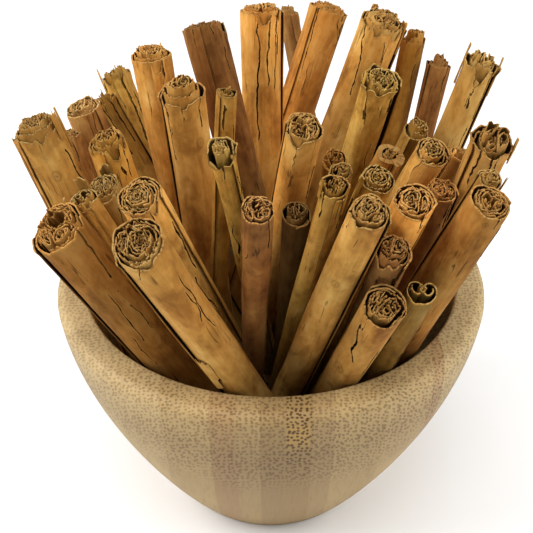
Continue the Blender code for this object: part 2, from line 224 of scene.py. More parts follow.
        seam=-100, shade=1.25, tint=-0.4, heart=0.8, ragged=0.5, dome=0.2, broad=1, pitch=0.95,
        fill=[(80, 0.46, 0.5, 0.05, 0.2), (-80, 0.36, 0.5, 0.5, -0.8), (180, 0.55, 0.36, 0.1, 0.2)],
        cracks=[(-60, 0, 14, 0.9, 4)], bites=[(-22, 3, 3)]),
    "middle_quill_3": dict(
        seam=-20, shade=0.57, tint=-2, ragged=0.9, drop=(-30, 1.2),
        fill=[(-110, 0.45, 0.46, 0.12, 0.8), (70, 0.42, 0.52, 0.16, 0.8)]),
    "middle_quill_4": dict(
        seam=180, shade=0.53, tint=-0.8, heart=0.6, ragged=0.9, fill=[(90, 0.3, 0.5, 0.3, 1)],
        cracks=[(10, 0, 8, 0.9, 5)]),
    "middle_quill_5": dict(
        seam=30, shade=0.92, tint=-1, heart=0.6, ragged=0.15, thick=1.5,
        fill=[(-150, 0.1, 0.45, 0.5, -1)]),
    "middle_quill_6": dict(
        seam=-90, shade=1.5, tint=0, ragged=1.1, dome=0.6, drop=(0, 0.5), lift=0.44,
        fill=[(0, 0.04, 0.9, 0.06, 0.5)], slivers=[(-70, -2, 8, 1.6, 0.9)]),
    "middle_quill_7": dict(
        seam=10, shade=0.78, tint=-0.5, ragged=1.3, drop=(10, 1), flare=0.4, pitch=1.1,
        fill=[(0, 0.05, 0.9, 0.35, -0.6)], cracks=[(-50, 0, 12, 1, 2), (60, 0, 16, 1, 0)],
        slivers=[(-70, -3, 4, 1.3, 0.9), (60, -2, 9, 1.4, 0.8)]),
    "middle_quill_8": dict(
        seam=0, shade=0.16, tint=-1, heart=0.5, ragged=0.7, drop=(0, 1.7), pitch=1.1,
        fill=[(-60, 0.42, 0.42, 0.5, 0.4), (60, 0.44, 0.46, 0.6, 0.8)]),
    "middle_quill_9": dict(
        seam=-30, shade=0.65, tint=-0.4, ragged=0.9, dome=0.8, drop=(-10, 1.2),
        fill=[(-20, 0.12, 0.66, 0.15, 1.4), (130, 0.6, 0.36, 0.4, 1.2)], cracks=[(10, 2, 14, 0.5, 10)]),
    "middle_quill_10": dict(
        seam=80, shade=1.5, tint=0, ragged=0.6, dome=1, lift=0.61,
        fill=[(-60, 0.16, 0.72, 0.08, 0.8), (110, 0.62, 0.36, 0.1, 0.2)],
        cracks=[(72, 0, 16, 1.3, 4), (96, 0, 20, 1.1, 0)], slivers=[(84, -3, 9, 1.2, 0.8)]),
    "right_quill_1": dict(
        seam=60, shade=0.35, tint=-0.8, ragged=0.4, drop=(0, 0.5), lift=0.55),
    "right_quill_2": dict(
        seam=-70, shade=0.8, tint=-1, heart=0.65, ragged=1.3, dome=0.8, flare=0.9, lift=0.5, pitch=0.9,
        rings=0.7, crumbs=8,
        fill=[(-110, 0.5, 0.42, 0.5, 2.6), (50, 0.42, 0.46, 0.4, 1.8), (-20, 0.3, 0.36, 0.3, 0.6)],
        cracks=[(-40, 0, 14, 1.2, 2), (-8, 0, 9, 0.9, 4)], slivers=[(80, -3, 6, 1.6, 1)]),
    "right_quill_3": dict(
        seam=-100, shade=0.7, tint=-0.3, ragged=0.5, dome=0.8, lift=0.39,
        fill=[(0, 0.05, 0.9, 0.1, 0.8)], slivers=[(80, -2, 7, 1.2, 0.7)]),
    "right_quill_4": dict(
        seam=104, shade=0.64, tint=-0.4, heart=0.8, ragged=0.4, dome=0.3, pitch=0.72, rings=2.1,
        crumbs=10, fill=[(60, 0.18, 0.5, 0.88, -0.5)], cracks=[(20, 0, 5, 0.4, 6)],
        knots=[(-6, 3, 0.9)]),
    "right_quill_5": dict(
        seam=80, shade=0.67, tint=-2.2, heart=1, ragged=0.5, dome=0.5, shift=(0, 0.2), pitch=0.75,
        fill=[(-60, 0.25, 0.62, 0.1, 0.2), (80, 0.52, 0.44, 0.25, 0.4)], cracks=[(40, 1, 20, 0.6, 6)]),
    "right_quill_6": dict(
        seam=90, shade=1.65, tint=-0.5, heart=0.88, ragged=0.5, dome=0.6, broad=0.7, lift=0.28,
        pitch=0.8, fill=[(-75, 0.26, 0.62, 0.08, 0.3), (72, 0.54, 0.46, 0.08, -0.2)],
        cracks=[(20, 0, 5, 0.6, 10)],
        slivers=[(40, -0.8, 7, 1.3, 0.7), (58, -0.8, 6, 1.2, 0.7), (75, -1, 8, 1.3, 0.8)]),
}
PLAIN_LOOK = dict(
    roll="wrap", seam=0, lobes=(0.42, 0.42), shade=1.0, tint=0.0, ragged=0.8, thick=0.42, pitch=0.78, rings=1.1, crumbs=12,
    splits=2, broad=0.0, shift=(0, 0.0), slant=(0, 0.0), rise=0.0, heart=0.85, curl=1.45,
    dome=0.5, drop=(0, 0), flare=0.0, lift=0.14,
    fill=[(-80, 0.40, 0.50, 0.12, 0.3), (90, 0.44, 0.46, 0.12, 0.2)],
    cracks=(), bites=(), torn=(), knots=(), slivers=())

# deep, middle and pale colours of each kind of bark
BARKS = {
    "bark_tan": ((0.235, 0.098, 0.018), (0.46, 0.230, 0.048), (0.62, 0.37, 0.107)),
    "bark_orange": ((0.245, 0.088, 0.014), (0.47, 0.206, 0.038), (0.61, 0.34, 0.088)),
    "bark_brown": ((0.147, 0.059, 0.014), (0.325, 0.152, 0.041), (0.50, 0.28, 0.083)),
    "bark_olive": ((0.196, 0.090, 0.014), (0.41, 0.220, 0.039), (0.58, 0.36, 0.094)),
}

# the bowl's glued strips from left to right: where each starts in x, in millimetres, its colour, and
# how strongly the cut fibres dot it
# the middle strips' colours are darker partly with painted shade, for the dimmer middle of the bowl's front
STRIPS = (
    (-80, (0.38, 0.275, 0.132), 0.55), (-47, (0.37, 0.265, 0.122), 0.65), (-32, (0.33, 0.228, 0.097), 0.80),
    (-17.7, (0.275, 0.172, 0.072), 0.95), (-10.2, (0.29, 0.197, 0.084), 0.75), (-3.2, (0.240, 0.158, 0.064), 0.95),
    (4.2, (0.245, 0.160, 0.060), 1.00), (11.3, (0.28, 0.188, 0.080), 0.75), (18, (0.33, 0.230, 0.098), 0.85),
    (33, (0.36, 0.253, 0.112), 0.75), (47, (0.33, 0.210, 0.094), 0.85), (51, (0.40, 0.295, 0.140), 0.60),
)


# ------------------------------------------------------------------ nodes

class Nodes:
    """Adds nodes to one tree and joins them up."""

    def __init__(self, tree):
        self.tree = tree

    def add(self, kind, **settings):
        node = self.tree.nodes.new(kind)
        for name, value in settings.items():
            setattr(node, name, value)
        return node

    def put(self, socket, value):
        if isinstance(value, bpy.types.NodeSocket):
            self.tree.links.new(value, socket)
        elif isinstance(value, bpy.types.Node):
            self.tree.links.new(value.outputs[0], socket)
        else:
            socket.default_value = value

    def math(self, operation, first, second=0.0, third=0.0, clamp=False):
        node = self.add("ShaderNodeMath", operation=operation, use_clamp=clamp)
        for socket, value in zip(node.inputs, (first, second, third)):
            self.put(socket, value)
        return node.outputs[0]

    def vector(self, x=0.0, y=0.0, z=0.0):
        node = self.add("ShaderNodeCombineXYZ")
        for socket, value in zip(node.inputs, (x, y, z)):
            self.put(socket, value)
        return node.outputs[0]

    def span(self, value, low, high, to_low=0.0, to_high=1.0, smooth=False):
        """Maps the stretch from low to high onto another stretch and holds it beyond the ends."""
        node = self.add("ShaderNodeMapRange", clamp=True)
        if smooth:
            node.interpolation_type = "SMOOTHSTEP"
        for name, number in zip(("Value", "From Min", "From Max", "To Min", "To Max"),
                                (value, low, high, to_low, to_high)):
            self.put(node.inputs[name], number)
        return node.outputs[0]

    def attribute(self, name):
        node = self.add("ShaderNodeAttribute", attribute_type="GEOMETRY", attribute_name=name)
        return node.outputs["Fac"]

    def noise(self, place, scale=1.0, detail=2.0, roughness=0.5, distortion=0.0):
        node = self.add("ShaderNodeTexNoise")
        self.put(node.inputs["Vector"], place)
        for name, number in (("Scale", scale), ("Detail", detail), ("Roughness", roughness),
                             ("Distortion", distortion)):
            node.inputs[name].default_value = number
        return node.outputs["Fac"]

    def ramp(self, share, stops):
        """Colours or greys between (place, colour) stops."""
        node = self.add("ShaderNodeValToRGB")
        self.put(node.inputs[0], share)
        elements = node.color_ramp.elements
        while len(elements) < len(stops):
            elements.new(0.5)
        for element, (place, colour) in zip(elements, stops):
            element.position = place
            element.color = (*colour, 1.0)
        return node.outputs[0]

    def blend(self, share, first, second, how="MIX"):
        node = self.add("ShaderNodeMix", data_type="RGBA", blend_type=how, clamp_factor=True)
        for name, value in (("Factor_Float", share), ("A_Color", first), ("B_Color", second)):
            socket = next(item for item in node.inputs if item.identifier == name)
            if isinstance(value, tuple) and len(value) == 3:
                value = (*value, 1.0)
            self.put(socket, value)
        return next(item for item in node.outputs if item.identifier == "Result_Color")


def new_material(name):
    """A material with a bare Principled shader, and the helper that adds to it."""
    made = bpy.data.materials.new(name)
    made.use_nodes = True
    nodes = Nodes(made.node_tree)
    return made, nodes, made.node_tree.nodes["Principled BSDF"]


def bark_material(name, colours):
    """Rolled bark: patches, lengthwise streaks, fine splits, flaked layers, flecks and knots."""
    made, nodes, shader = new_material(name)
    deep, middle, pale = colours
    around = nodes.attribute("around")
    along = nodes.attribute("along")
    inside = nodes.attribute("inside")
    edge = nodes.attribute("edge")
    knot = nodes.attribute("knot")
    shade = nodes.attribute("shade")

    def grain(across, lengthwise, lift=0.37, **settings):
        place = nodes.vector(nodes.math("MULTIPLY", around, across),
                             nodes.math("MULTIPLY", along, lengthwise), lift)
        return nodes.noise(place, **settings)

    def dark(share, colour=deep):
        return tuple(share * channel for channel in colour)

    patch = grain(110, 42, detail=3, roughness=0.55, distortion=0.6)
    mottle = grain(420, 260, 3.0, detail=3, roughness=0.6)
    streak = grain(700, 40, 2.0, detail=3, roughness=0.6, distortion=0.3)
    fleck = grain(1000, 520, 6.0, detail=2, roughness=0.7)
    tone = nodes.math("MULTIPLY", patch, 0.60)
    tone = nodes.math("ADD", tone, nodes.math("MULTIPLY", mottle, 0.22))
    tone = nodes.math("ADD", tone, nodes.math("MULTIPLY", streak, 0.18))
    colour = nodes.ramp(tone, [(0.36, deep), (0.50, middle), (0.66, pale)])

    blotch = nodes.span(grain(95, 60, 8.0, detail=4, roughness=0.6, distortion=0.8), 0.58, 0.66, 0.0, 0.5)
    colour = nodes.blend(blotch, colour, dark(0.9))
    line = grain(300, 13, 10.0, detail=3, roughness=0.55, distortion=0.35)
    line = nodes.math("ABSOLUTE", nodes.math("SUBTRACT", line, 0.5))
    broken = nodes.span(grain(200, 60, 12.0, detail=2), 0.58, 0.62, 0.0, 1.0)
    split = nodes.math("MULTIPLY", nodes.span(line, 0.004, 0.012, 1.0, 0.0), broken)
    colour = nodes.blend(nodes.math("MULTIPLY", split, 0.7), colour, dark(0.25))
    flecks = nodes.span(fleck, 0.64, 0.74, 0.0, 0.5, smooth=True)
    colour = nodes.blend(flecks, colour, dark(0.6))

    rift = nodes.attribute("rift")
    gape = nodes.span(grain(400, 300, 14.0, detail=3, roughness=0.7), 0.38, 0.75, 0.0, 0.6)
    torn = nodes.math("LESS_THAN", rift, gape)
    bare = nodes.math("MULTIPLY", nodes.span(rift, 0.5, 1.3, 0.25, 0.0), nodes.math("SUBTRACT", 1.0, torn))
    colour = nodes.blend(bare, colour, pale)
    colour = nodes.blend(nodes.math("MULTIPLY", torn, 0.9), colour, dark(0.15))

    # painted shade: below the head's edge the sunk faces go near black, as strongly as their inside value says, for
    # the shade deep between the packed rolls
    painted_gap_shade = nodes.span(edge, 0.0, 0.16, 0.0, 1.0)
    colour = nodes.blend(nodes.math("MULTIPLY", inside, painted_gap_shade), colour, dark(0.14))
    lip = nodes.span(edge, 0.0, 0.12, 0.7, 0.0)
    crumb = grain(1900, 900, 16.0, detail=2)
    colour = nodes.blend(nodes.math("MULTIPLY", lip, nodes.span(crumb, 0.45, 0.60, 1.0, 0.0)),
                         colour, (0.46, 0.29, 0.105))
    colour = nodes.blend(nodes.math("MULTIPLY", lip, nodes.span(crumb, 0.50, 0.66, 0.0, 0.7)),
                         colour, dark(0.40))
    rings = nodes.math("SINE", nodes.math("MULTIPLY", knot, 9.0))
    rings = nodes.span(rings, -1.0, 1.0, 0.25, 0.85)
    near = nodes.math("MULTIPLY", rings, nodes.span(knot, 1.6, 0.2, 0.0, 1.0, smooth=True))
    colour = nodes.blend(near, colour, dark(0.6))
    cast = nodes.span(grain(55, 24, 18.0, detail=2), 0.3, 0.7, -1.2, 1.2)
    cast = nodes.math("ADD", cast, nodes.attribute("tint"))
    # each quill's lightness and tint; the lightness is partly painted shade for quills that stand in the others'
    # shadow
    lit = nodes.vector(*(nodes.math("MULTIPLY", shade, nodes.math("MULTIPLY_ADD", cast, lean, 1.0))
                         for lean in (-0.03, 0.05, 0.12)))
    colour = nodes.blend(1.0, colour, lit, "MULTIPLY")
    nodes.put(shader.inputs["Base Color"], colour)
    shader.inputs["Roughness"].default_value = 0.85
    shader.inputs["Specular IOR Level"].default_value = 0.1
    bump = nodes.add("ShaderNodeBump")
    bump.inputs["Strength"].default_value = 0.7
    bump.inputs["Distance"].default_value = 0.0004
    height = nodes.math("ADD", nodes.math("MULTIPLY", streak, 0.5), nodes.math("MULTIPLY", mottle, 0.6))
    height = nodes.math("SUBTRACT", height, nodes.math("MULTIPLY", flecks, 0.3))
    height = nodes.math("SUBTRACT", height, nodes.math("MULTIPLY", split, 0.8))
    height = nodes.math("SUBTRACT", height, nodes.math("MULTIPLY", torn, 0.9))
    nodes.put(bump.inputs["Height"], height)
    nodes.put(shader.inputs["Normal"], bump)
    return made


def bamboo_material():
    """Glued bamboo strips standing across the bowl, their fibres cut through by its turned face."""
    made, nodes, shader = new_material("bamboo")
    place = nodes.add("ShaderNodeTexCoord").outputs["Object"]
    split = nodes.add("ShaderNodeSeparateXYZ")
    nodes.put(split.inputs[0], place)
    x, y, z = split.outputs
    across = nodes.span(x, -0.08, 0.08)
    starts = [(80 + start) / 160 for start, _, _ in STRIPS]
    strip = nodes.ramp(across, [(at, colour) for at, (_, colour, _) in zip(starts, STRIPS)])
    dotted = nodes.ramp(across, [(at, (dots,) * 3) for at, (_, _, dots) in zip(starts, STRIPS)])
    for made_ramp in (strip, dotted):
        made_ramp.node.color_ramp.interpolation = "CONSTANT"
    cross = nodes.math("MULTIPLY", nodes.math("ADD", y, z), 0.7)
    lengthwise = nodes.math("MULTIPLY", nodes.math("SUBTRACT", z, y), 0.7)

    def grain(over, through, along, **settings):
        return nodes.noise(nodes.vector(
            nodes.math("MULTIPLY", x, over), nodes.math("MULTIPLY", cross, through),
            nodes.math("MULTIPLY", lengthwise, along)), **settings)

    # painted light: the wall is lighter towards the foot, and a painted highlight brightens the band below the
    # rim's top
    height = nodes.span(z, 0.010, 0.070, 1.15, 0.92)
    height = nodes.math("MULTIPLY", height, nodes.span(z, 0.068, 0.085, 1.0, 1.42))
    colour = nodes.blend(1.0, strip, nodes.vector(height, height, height), "MULTIPLY")
    soft = grain(60, 60, 25, detail=3, roughness=0.6)
    colour = nodes.blend(nodes.span(soft, 0.35, 0.70, 0.0, 0.35), colour, (0.24, 0.155, 0.07))
    streak = grain(1100, 260, 40, detail=4, roughness=0.65)
    colour = nodes.blend(nodes.span(streak, 0.48, 0.70, 0.0, 0.40), colour, (0.20, 0.12, 0.05))

    upper = nodes.span(nodes.math("ADD", z, nodes.math("MULTIPLY", soft, 0.02)), 0.050, 0.072,
                       smooth=True)
    cells = nodes.add("ShaderNodeTexVoronoi", feature="F1", voronoi_dimensions="2D")
    bent = nodes.math("MULTIPLY", grain(90, 90, 12, detail=2), 1.5)
    nodes.put(cells.inputs["Vector"], nodes.vector(
        nodes.math("MULTIPLY_ADD", x, 760.0, bent), nodes.math("MULTIPLY_ADD", cross, 1080.0, bent)))
    cells.inputs["Scale"].default_value = 1.0
    cells.inputs["Randomness"].default_value = 0.7
    away = nodes.math("ADD", cells.outputs["Distance"],
                      nodes.span(grain(900, 900, 30, detail=1), 0.3, 0.7, -0.08, 0.10))
    ring = nodes.math("MULTIPLY", nodes.span(away, 0.22, 0.40, 1.0, 0.0, smooth=True),
                      nodes.span(away, 0.0, 0.16, 0.45, 1.0))
    ring = nodes.math("MULTIPLY", ring, nodes.math("MULTIPLY", upper, dotted))
    ring = nodes.math("MULTIPLY", ring, nodes.span(soft, 0.30, 0.60, 0.55, 1.0))
    band = nodes.math("MULTIPLY", nodes.span(x, 0.0042, 0.0046), nodes.span(x, 0.0110, 0.0114, 1.0, 0.0))
    band = nodes.math("MULTIPLY", band, nodes.span(y, -0.055, -0.060))
    stain = nodes.math("MULTIPLY", nodes.span(z, 0.071, 0.076), nodes.span(z, 0.082, 0.084, 1.0, 0.0))
    stain = nodes.math("MULTIPLY", nodes.math("MULTIPLY", stain, band), 0.5)
    colour = nodes.blend(stain, colour, (0.42, 0.25, 0.055))
    bold = nodes.math("MULTIPLY_ADD", nodes.math("MULTIPLY", band, nodes.span(z, 0.064, 0.074)), 0.95, 0.85)
    ring = nodes.math("MULTIPLY", ring, bold, clamp=True)
    colour = nodes.blend(ring, colour, (0.080, 0.036, 0.010))
    nodes.put(shader.inputs["Base Color"], colour)
    shader.inputs["Roughness"].default_value = 0.6
    shader.inputs["Specular IOR Level"].default_value = 0.25
    bump = nodes.add("ShaderNodeBump")
    bump.inputs["Strength"].default_value = 0.15
    bump.inputs["Distance"].default_value = 0.0002
    nodes.put(bump.inputs["Height"], nodes.math("SUBTRACT", streak, ring))
    nodes.put(shader.inputs["Normal"], bump)
    return made


# ------------------------------------------------------------------ geometry nodes

def value_input(tree, name, kind, value):
    socket = tree.interface.new_socket(name=name, in_out="INPUT", socket_type=kind)
    socket.default_value = value
    return socket.identifier


def roll_tree():
    """A sheet of bark rolled into a spiral about Z: it hangs down from its ragged head at z = 0."""
    tree = bpy.data.node_groups.new("bark_roll", "GeometryNodeTree")
    tree.interface.new_socket(name="Geometry", in_out="OUTPUT", socket_type="NodeSocketGeometry")
    for name, kind, value in (
            ("Outer Radius", "NodeSocketFloat", 3 * MM), ("Inner Radius", "NodeSocketFloat", 1 * MM),
            ("Turns", "NodeSocketFloat", 1.8), ("Start", "NodeSocketFloat", 0.0),
            ("Length", "NodeSocketFloat", 20 * MM), ("Ragged", "NodeSocketFloat", 1 * MM),
            ("Crinkle", "NodeSocketFloat", 0.2 * MM), ("Columns", "NodeSocketInt", 40),
            ("Rows", "NodeSocketInt", 8), ("Seed", "NodeSocketFloat", 0.0)):
        value_input(tree, name, kind, value)
    nodes = Nodes(tree)
    given = nodes.add("NodeGroupInput").outputs
    grid = nodes.add("GeometryNodeMeshGrid")
    grid.inputs["Size X"].default_value = 1.0
    grid.inputs["Size Y"].default_value = 1.0
    nodes.put(grid.inputs["Vertices X"], given["Columns"])
    nodes.put(grid.inputs["Vertices Y"], given["Rows"])
    split = nodes.add("ShaderNodeSeparateXYZ")
    nodes.put(split.inputs[0], nodes.add("GeometryNodeInputPosition"))
    share = nodes.math("ADD", split.outputs[0], 0.5)
    down = nodes.math("POWER", nodes.math("SUBTRACT", 0.5, split.outputs[1]), 1.7)
    turn = nodes.math("MULTIPLY", share, nodes.math("MULTIPLY", given["Turns"], 2 * math.pi))
    angle = nodes.math("ADD", turn, given["Start"])
    reach = nodes.math("MULTIPLY_ADD", share, nodes.math(
        "SUBTRACT", given["Inner Radius"], given["Outer Radius"]), given["Outer Radius"])
    length = nodes.math("MULTIPLY", turn, nodes.math("MULTIPLY", nodes.math(
        "ADD", reach, given["Outer Radius"]), 0.5))
    depth = nodes.math("MULTIPLY", down, given["Length"])
    east = nodes.math("MULTIPLY", reach, nodes.math("COSINE", angle))
    north = nodes.math("MULTIPLY", reach, nodes.math("SINE", angle))
    drift = nodes.math("ADD", nodes.math("MULTIPLY", depth, 90.0), given["Seed"])
    nested = nodes.noise(nodes.vector(nodes.math("MULTIPLY", east, 620.0),
                                      nodes.math("MULTIPLY", north, 620.0), drift), detail=2.0)
    loose = nodes.noise(nodes.vector(nodes.math("MULTIPLY", length, 260.0), drift, 3.0),
                        detail=3.0, roughness=0.65)
    wave = nodes.math("ADD", nodes.math("MULTIPLY", nodes.math("SUBTRACT", nested, 0.5), 3.4),
                      nodes.math("MULTIPLY", nodes.math("SUBTRACT", loose, 0.5), 3.4))
    reach = nodes.math("ADD", reach, nodes.math("MULTIPLY", wave, given["Crinkle"]))
    bite = nodes.noise(nodes.vector(nodes.math("MULTIPLY", length, 900.0), given["Seed"], 5.0),
                       detail=4, roughness=0.85)
    bite = nodes.math("MULTIPLY", nodes.math("SUBTRACT", bite, 0.5),
                      nodes.math("MULTIPLY", given["Ragged"], 6.5))
    bite = nodes.math("MULTIPLY", bite, nodes.span(down, 0.0, 0.5, 1.0, 0.0))
    sink = nodes.math("ADD", depth, bite)
    stored = grid.outputs["Mesh"]
    for name, value in (("along", depth), ("around", length)):
        keep = nodes.add("GeometryNodeStoreNamedAttribute", data_type="FLOAT", domain="POINT")
        nodes.put(keep.inputs["Geometry"], stored)
        keep.inputs["Name"].default_value = name
        nodes.put(keep.inputs["Value"], value)
        stored = keep.outputs[0]
    moved = nodes.add("GeometryNodeSetPosition")
    nodes.put(moved.inputs["Geometry"], stored)
    nodes.put(moved.inputs["Position"], nodes.vector(
        nodes.math("MULTIPLY", reach, nodes.math("COSINE", angle)),
        nodes.math("MULTIPLY", reach, nodes.math("SINE", angle)),
        nodes.math("MULTIPLY", sink, -1.0)))
    real = nodes.add("GeometryNodeRealizeInstances")
    nodes.put(real.inputs[0], moved)
    finish = nodes.add("GeometryNodeSetMaterial")
    nodes.put(finish.inputs["Geometry"], real)
    nodes.put(nodes.add("NodeGroupOutput").inputs[0], finish)
    return tree


def turned_tree():
    """Turns a profile, drawn as a chain of edges in the XZ plane, about the Z axis."""
    tree = bpy.data.node_groups.new("turned_form", "GeometryNodeTree")
    tree.interface.new_socket(name="Geometry", in_out="INPUT", socket_type="NodeSocketGeometry")
    tree.interface.new_socket(name="Geometry", in_out="OUTPUT", socket_type="NodeSocketGeometry")
    value_input(tree, "Sides", "NodeSocketInt", 192)
    value_input(tree, "Points", "NodeSocketInt", 60)
    nodes = Nodes(tree)
    given = nodes.add("NodeGroupInput").outputs
    grid = nodes.add("GeometryNodeMeshGrid")
    grid.inputs["Size X"].default_value = 1.0
    grid.inputs["Size Y"].default_value = 1.0
    nodes.put(grid.inputs["Vertices X"], nodes.math("ADD", given["Sides"], 1.0))
    nodes.put(grid.inputs["Vertices Y"], given["Points"])
    index = nodes.add("GeometryNodeInputIndex").outputs[0]
    point = nodes.math("MODULO", index, given["Points"])
    side = nodes.math("FLOOR", nodes.math("DIVIDE", index, given["Points"]))
    angle = nodes.math("DIVIDE", nodes.math("MULTIPLY", side, 2 * math.pi), given["Sides"])
    read = nodes.add("GeometryNodeSampleIndex", data_type="FLOAT_VECTOR", domain="POINT")
    nodes.put(read.inputs["Geometry"], given["Geometry"])
    nodes.put(next(s for s in read.inputs if s.name == "Value" and s.enabled),
              nodes.add("GeometryNodeInputPosition"))
    nodes.put(read.inputs["Index"], point)
    split = nodes.add("ShaderNodeSeparateXYZ")
    nodes.put(split.inputs[0], next(s for s in read.outputs if s.enabled))
    moved = nodes.add("GeometryNodeSetPosition")
    nodes.put(moved.inputs["Geometry"], grid.outputs["Mesh"])
    nodes.put(moved.inputs["Position"], nodes.vector(
        nodes.math("MULTIPLY", split.outputs[0], nodes.math("COSINE", angle)),
        nodes.math("MULTIPLY", split.outputs[0], nodes.math("SINE", angle)), split.outputs[2]))
    merged = nodes.add("GeometryNodeMergeByDistance")
    nodes.put(merged.inputs["Geometry"], moved)
    merged.inputs["Distance"].default_value = 0.01 * MM
    real = nodes.add("GeometryNodeRealizeInstances")
    nodes.put(real.inputs[0], merged)
    finish = nodes.add("GeometryNodeSetMaterial")
    nodes.put(finish.inputs["Geometry"], real)
    nodes.put(nodes.add("NodeGroupOutput").inputs[0], finish)
    return tree


def grown(base, tree, settings):
    """The plain mesh that a node tree makes from a base object, with the tree's inputs set."""
    bpy.context.scene.collection.objects.link(base)
    modifier = base.modifiers.new("shape", "NODES")
    modifier.node_group = tree
    for item in tree.interface.items_tree:
        if item.item_type == "SOCKET" and item.in_out == "INPUT" and item.name in settings:
            modifier[item.identifier] = settings[item.name]
    bpy.context.view_layer.update()
    shown = base.evaluated_get(bpy.context.evaluated_depsgraph_get())
    mesh = bpy.data.meshes.new_from_object(shown)
    base.modifiers.clear()
    bpy.data.objects.remove(base)
    return mesh


# ------------------------------------------------------------------ bark sheets

class Sheets:
    """Gathers the walls of one quill, with what the bark material reads at each point."""

    names = ("along", "around", "inside", "edge", "rift", "knot", "shade", "tint")

    def __init__(self):
        self.points = []
        self.quads = []
        self.values = {name: [] for name in self.names}
        self.count = 0

    def add(self, points, quads, **values):
        self.points.append(points)
        self.quads.append(quads + self.count)
        for name in self.names:
            self.values[name].append(np.broadcast_to(values[name], len(points)).astype(np.float32))
        self.count += len(points)

    def build(self, name, material):
        mesh = bpy.data.meshes.new(name)
        points = np.concatenate(self.points).astype(np.float32)
        quads = np.concatenate(self.quads).astype(np.int32)
        mesh.vertices.add(len(points))
        mesh.vertices.foreach_set("co", points.ravel())
        mesh.loops.add(quads.size)
        mesh.loops.foreach_set("vertex_index", quads.ravel())
        mesh.polygons.add(len(quads))
        mesh.polygons.foreach_set("loop_start", np.arange(0, quads.size, 4, dtype=np.int32))
        mesh.update(calc_edges=True)
        for key, parts in self.values.items():
            stored = mesh.attributes.new(key, "FLOAT", "POINT")
            stored.data.foreach_set("value", np.concatenate(parts))
        mesh.shade_smooth()
        mesh.set_sharp_from_angle(angle=math.radians(50))
        mesh.materials.append(material)
        made = bpy.data.objects.new(name, mesh)
        bpy.context.scene.collection.objects.link(made)
        return made


def wander(seed, along, across):
    """Smooth noise between -1 and 1 on a unit lattice, the same every time for one seed."""
    table = np.random.RandomState(seed).uniform(-1, 1, (64, 64))
    along, across = np.broadcast_arrays(np.asarray(along, float), np.asarray(across, float))
    low_a, low_b = np.floor(along).astype(int), np.floor(across).astype(int)
    step_a, step_b = along - low_a, across - low_b
    step_a = step_a * step_a * (3 - 2 * step_a)
    step_b = step_b * step_b * (3 - 2 * step_b)
    near = (table[low_a % 64, low_b % 64] * (1 - step_b)
            + table[low_a % 64, (low_b + 1) % 64] * step_b)
    far = (table[(low_a + 1) % 64, low_b % 64] * (1 - step_b)
           + table[(low_a + 1) % 64, (low_b + 1) % 64] * step_b)
    return near * (1 - step_a) + far * step_a


class Stand:
    """Where one quill stands, read from its solid: its head, axis, length and radius."""

    def __init__(self, node, look):
        self.look = look
        points = np.array([vertex.co for vertex in node.data.vertices], float)
        points = np.unique(np.round(points, 6), axis=0)
        middle = points.mean(0)
        axis = np.linalg.svd(points - middle, full_matrices=False)[2][0]
        axis *= np.sign(axis[2])
        height = (points - middle) @ axis
        foot = points[height < height.min() + 2 * MM].mean(0)
        shoulder = foot + 0.75 * np.ptp(height) * axis
        near = np.abs((points - shoulder) @ axis) < 4 * MM
        axis = points[near].mean(0) - foot
        self.length = np.linalg.norm(axis) * 4 / 3
        self.axis = axis / np.linalg.norm(axis)
        self.head = foot + self.axis * self.length
        self.front = np.array([0.0, -1.0, 0.0])
        self.front -= self.axis * (self.front @ self.axis)
        self.front /= np.linalg.norm(self.front)
        self.side = np.cross(self.axis, self.front)
        off = points - self.head
        off -= np.outer(off @ self.axis, self.axis)
        self.radius = np.linalg.norm(off, axis=1).max()

    def place(self, across, depth, bend):
        """Points from their place across the quill (front, side) and their depth."""
        share = np.clip(depth / self.length, 0, 1)
        bow = np.sin(math.pi * share) * bend[0]
        angle, amount = self.look["shift"]
        lean = amount * MM * np.clip(1 - depth / (70 * MM), 0, 1)
        lean_front = bow * math.cos(bend[1]) + lean * math.cos(math.radians(angle))
        lean_side = bow * math.sin(bend[1]) + lean * math.sin(math.radians(angle))
        angle, amount = self.look["slant"]
        low = across @ np.array([math.cos(math.radians(angle)), math.sin(math.radians(angle))]) / self.radius
        depth = depth + (amount * low - self.look["rise"]) * MM * np.clip(1 - depth / (30 * MM), 0, 1)
        return (self.head - depth[:, None] * self.axis
                + (across[:, 0] + lean_front)[:, None] * self.front
                + (across[:, 1] + lean_side)[:, None] * self.side)


def wrap_section(radius, seam, gap, lap, lift):
    """One sheet rolled past its own edge, which faces the front and stands a little open."""
    turn = np.radians(np.arange(0, 360 + lap, 3.0))
    open_share = min(1.0, lift / (0.8 * MM))
    reach = radius - gap * np.clip(turn / (2 * math.pi), 0, 2)
    reach += 0.2 * MM * np.clip(1 - turn / math.radians(22), 0, 1) ** 2
    tucked = np.clip((turn - math.radians(310)) / math.radians(50), 0, 1)
    reach -= lift * tucked * tucked * (3 - 2 * tucked) * open_share
    way = 1 if seam >= 0 else -1
    angle = math.radians(seam) + way * turn
    return np.stack([reach * np.cos(angle), reach * np.sin(angle)], 1)[::way]


